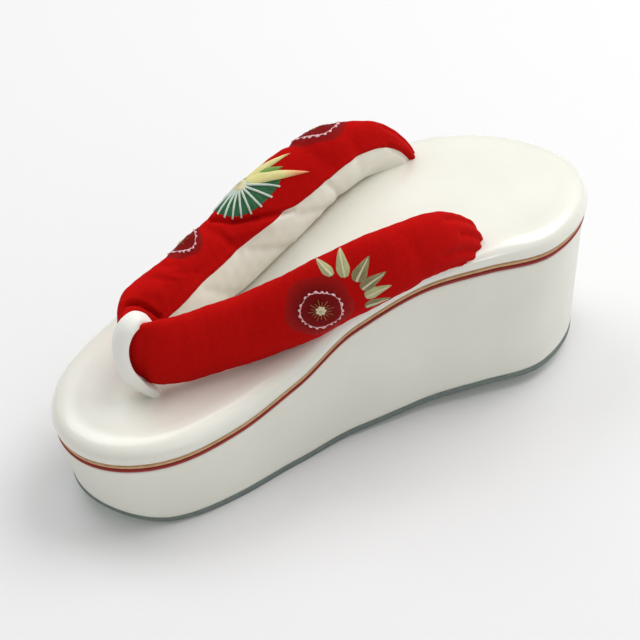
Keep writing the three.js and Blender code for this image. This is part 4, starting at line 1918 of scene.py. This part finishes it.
@dataclass
class HeelLift:
    """Moulded half-moon lift with a raised rim, ribs over its rear and sunk nails."""

    thick: float = 5.0
    front: float = -77.0
    depth: float = 32.0
    half: float = 23.5
    corner: float = 5.0
    side_run: float = 11.0
    tip_round: float = 0.62
    tip_half: float = 1e-3
    line_points: int = 200
    edge: float = 1.5
    edge_share: float = 0.45
    edge_steps: int = 6
    rim_wide: float = 2.9
    rim_soft: float = 0.3
    panel_sunk: float = 0.45
    rib_count: int = 8
    rib_pitch: float = 1.4
    rib_first: float = -96.5
    rib_rows: int = 115
    groove_half: float = 0.34
    groove_deep: float = 0.6
    groove_inset: Span = (0.4, 1.0)
    pit_deep: float = 0.85
    pit_room: Span = (0.1, 0.35)
    rows: int = 150
    columns: int = 91
    nail_radius: float = 1.6
    nail_sunk: float = 0.4
    nail_around: int = 28
    block_sharp: float = 40.0
    nail_sharp: float = 50.0
    nails: Table = NAIL_PLACES
    # Half section of a nail from the crown of its head up: share of the radius, height.
    nail_profile: Table = Table(
        "out up",
        (0.0, 0.0), (0.5, 0.05), (0.85, 0.2), (1.0, 0.5), (1.0, 0.9), (0.55, 1.0), (0.5, 2.8), (0.0, 3.2),
        by_row=True,
    )

    def half_at(self, x: Array) -> Array:
        """Half breadth: a short round at the front corners, then one long Bezier curve to the rear tip.

        Args:
            x: places along the sandal.

        Returns:
            Half the lift's breadth there.
        """
        u = np.linspace(0, 1, self.line_points)
        front = np.column_stack([
            self.front - self.corner * u ** 2,
            self.half - self.corner * (1 - u) ** 2,
        ])
        run = self.depth - self.corner
        ends = np.array(((0.0, 1.0), (self.side_run, 1.0), (run, self.tip_round), (run, 0.0)))
        weight = np.stack([(1 - u) ** 3, 3 * u * (1 - u) ** 2, 3 * u ** 2 * (1 - u), u ** 3], axis=-1)
        curve = weight @ ends
        rear = np.column_stack([self.front - self.corner - curve[:, 0], self.half * curve[:, 1]])
        line = np.concatenate([front, rear[1:]])[::-1]
        return np.interp(x, line[:, 0], line[:, 1])

    def face(self, x: Array, y: Array, half: Array) -> Array:
        """Height of the under face: a sunk panel inside the rim, grooves across its rear, nail pits.

        Args:
            x: places along the sandal, one for each row.
            y: places across, in rows.
            half: half the breadth of each row.

        Returns:
            Heights in rows.
        """
        slope = np.gradient(self.half_at(x[:, 0]), x[:, 0])[:, None]
        apart = np.minimum((half - np.abs(y)) / np.hypot(1, slope), self.front - x)
        height = self.panel_sunk * ease(self.rim_wide - self.rim_soft, self.rim_wide + self.rim_soft, apart)
        inside = ease(*(self.rim_wide + inset for inset in self.groove_inset), apart)
        for i in range(self.rib_count):
            place = self.rib_first - i * self.rib_pitch
            height = height + self.groove_deep * inside * np.exp(-(((x - place) / self.groove_half) ** 4))
        for along, side in self.nails.cells:
            radius = np.hypot(x - along, y - side)
            pit = 1 - ease(*(self.nail_radius + room for room in self.pit_room), radius)
            height = np.maximum(height, self.pit_deep * pit)
        return height

    def build(self) -> list[bpy.types.Object]:
        """Return the lift and its nails."""
        return [self.block(), *(self.nail(k) for k in range(len(self.nails.cells)))]

    def block(self) -> bpy.types.Object:
        """Block: sections across the sandal from the front edge to the rear tip, each a closed ring.

        Rows stand closer at both ends and over the ribs; the lower edges are quarter rounds.

        Returns:
            The finished lift.
        """
        ends = self.front - self.depth * (0.5 - 0.5 * np.cos(np.linspace(0, np.pi, self.rows)))
        ribs = self.rib_first + self.rib_pitch * np.linspace(1, -self.rib_count, self.rib_rows)
        x = np.unique(np.concatenate([ends, ribs]))[::-1, None]
        half = np.maximum(self.half_at(x), self.tip_half)
        bevel = np.minimum(self.edge / half, self.edge_share)
        curve = np.linspace(0, np.pi / 2, self.edge_steps)
        left = -1 + bevel * (1 - np.cos(curve))
        y_in = np.linspace(-1, 1, self.columns)[None, :] * (1 - bevel)
        end_apart = np.minimum(self.front - x, x - self.front + self.depth)
        short = np.clip(1 - end_apart / self.edge, 0, 1)
        lift = self.edge * (1 - np.sqrt(1 - short ** 2))
        z_in = np.maximum(self.face(x, y_in * half, half), lift)
        z_bevel = np.maximum(self.edge * (1 - np.sin(curve)), lift)
        ones = np.ones_like(half)
        y = np.concatenate([-ones, left, y_in, -left[:, ::-1], ones], axis=1) * half
        z = np.concatenate([self.thick * ones, z_bevel, z_in, z_bevel[:, ::-1], self.thick * ones], axis=1)
        points = np.stack([np.broadcast_to(x, y.shape), y, z], axis=-1)
        first = points[:1].copy()
        first[..., 2] = self.thick
        name = "heel_lift_block"
        mesh = make_mesh(name, [Grid(np.concatenate([first, points]), True)])
        return place_piece(name, mesh, [RUBBER], ["heel_lift"], self.block_sharp)

    def nail(self, index: int) -> bpy.types.Object:
        """Nail: a domed head and shank turned about its own axis.

        Args:
            index: row of the nail's place.

        Returns:
            The finished nail.
        """
        along, side = self.nails.cells[index]
        out = self.nail_radius * self.nail_profile.column("out")[:, None]
        up = self.nail_sunk + self.nail_profile.column("up")[:, None]
        turn = np.linspace(0, 2 * np.pi, self.nail_around, endpoint=False)
        places = np.broadcast_arrays(along + out * np.cos(turn), side + out * np.sin(turn), up)
        name = f"nail_{index + 1}"
        mesh = make_mesh(name, [Grid(np.stack(places, axis=-1), True)])
        return place_piece(name, mesh, [NAIL], [f"heel_nail_{index + 1}"], self.nail_sharp)


# The studio


@dataclass(frozen=True)
class Lamp:
    """Round soft light that looks at the sandal; place and size in metres, power in watts."""

    name: str
    place: Triple
    size: float
    power: float
    colour: Colour = (1.0, 1.0, 1.0)

    def hang(self, aim: Vector) -> None:
        """Hang the light at its place.

        Args:
            aim: point that it looks at, in metres.
        """
        data = bpy.data.lights.new(self.name, "AREA")
        data.shape, data.size, data.energy, data.color = "DISK", self.size, self.power, self.colour
        light = bpy.data.objects.new(self.name, data)
        turn = (aim - Vector(self.place)).to_track_quat("-Z", "Y").to_matrix().to_4x4()
        light.matrix_world = Matrix.Translation(self.place) @ turn
        bpy.context.scene.collection.objects.link(light)


@dataclass
class Studio:
    """Pale floor, soft lights and the camera at the photo's angle."""

    eye: Triple = (271.4, 622.4, 614.4)
    aim: Triple = (0.0, 0.0, 38.0)
    right: Triple = (-0.8873, 0.4609, -0.0150)
    lens: float = 122.0
    sensor: float = 36.0
    clip_m: Span = (0.01, 50.0)
    floor_half_m: float = 6.0
    floor_colour: Colour = (0.77, 0.77, 0.776)
    light_aim_m: Triple = (0.0, 0.0, 0.04)
    sky_strength: float = 0.534
    lamps: tuple[Lamp, ...] = (
        Lamp("key", (-0.75, -0.05, 1.15), 1.1, 11.2, (1.0, 0.995, 0.985)),
        Lamp("back", (0.20, -0.65, 1.15), 0.8, 4.4),
        Lamp("fill", (0.0, 2.4, 1.6), 2.0, 5.5),
    )

    def build(self) -> None:
        """Make floor, lights and camera."""
        self.floor()
        self.lights()
        self.camera()

    def camera(self) -> None:
        """Stand the camera at the eye, looking at the aim, its right side as in the photo."""
        forward = unit(np.array(self.aim) - np.array(self.eye))
        right = np.array(self.right)
        right = unit(right - forward * (right @ forward))
        up = np.cross(right, forward)
        data = bpy.data.cameras.new("camera")
        data.lens, data.sensor_width = self.lens, self.sensor
        data.clip_start, data.clip_end = self.clip_m
        camera = bpy.data.objects.new("camera", data)
        turn = Matrix(np.column_stack([right, up, -forward]).tolist()).to_4x4()
        camera.matrix_world = Matrix.Translation(Vector(self.eye) * MM) @ turn
        bpy.context.scene.collection.objects.link(camera)
        bpy.context.scene.camera = camera

    def floor(self) -> None:
        """Lay a wide pale floor."""
        half = self.floor_half_m
        corners = [(-half, -half, 0), (half, -half, 0), (half, half, 0), (-half, half, 0)]
        mesh = bpy.data.meshes.new("floor")
        mesh.from_pydata(corners, [], [(0, 1, 2, 3)])
        floor = bpy.data.objects.new("floor", mesh)
        bpy.context.scene.collection.objects.link(floor)
        shader = Shader("studio_paper")
        shader.set({"Base Color": self.floor_colour, "Roughness": 0.9, "Specular IOR Level": 0.1})
        mesh.materials.append(shader.material)

    def lights(self) -> None:
        """Hang a wide soft key light, one behind, a fill and a pale sky."""
        for lamp in self.lamps:
            lamp.hang(Vector(self.light_aim_m))
        world = bpy.data.worlds.new("sky")
        world.use_nodes = True
        sky = world.node_tree.nodes["Background"]
        sky.inputs["Color"].default_value = (1.0, 1.0, 1.0, 1.0)
        sky.inputs["Strength"].default_value = self.sky_strength
        bpy.context.scene.world = world


def main() -> None:
    """Build the studio, then the sandal from the heel lift up."""
    logging.basicConfig(level=logging.INFO, format="%(name)s %(message)s")
    bpy.context.scene.view_settings.view_transform = "Standard"
    form = SoleForm()
    Studio().build()
    HeelLift().build()
    Outsole(form).build()
    Platform(form).build()
    EdgeLayer(form, "red_layer", "red_welt", "red_edge", RED_EDGE, 0.0, form.red_thick).build()
    gold_lift = form.red_thick + form.seam
    EdgeLayer(form, "gold_layer", "gold_welt", "gold_edge", GOLD_EDGE, gold_lift, form.gold_thick).build()
    Footbed(form).build()
    skin = StrapForm(form)
    Strap(skin).build()
    Embroidery(skin).build()
    ToePost(form).build()


if __name__ == "__main__":
    main()
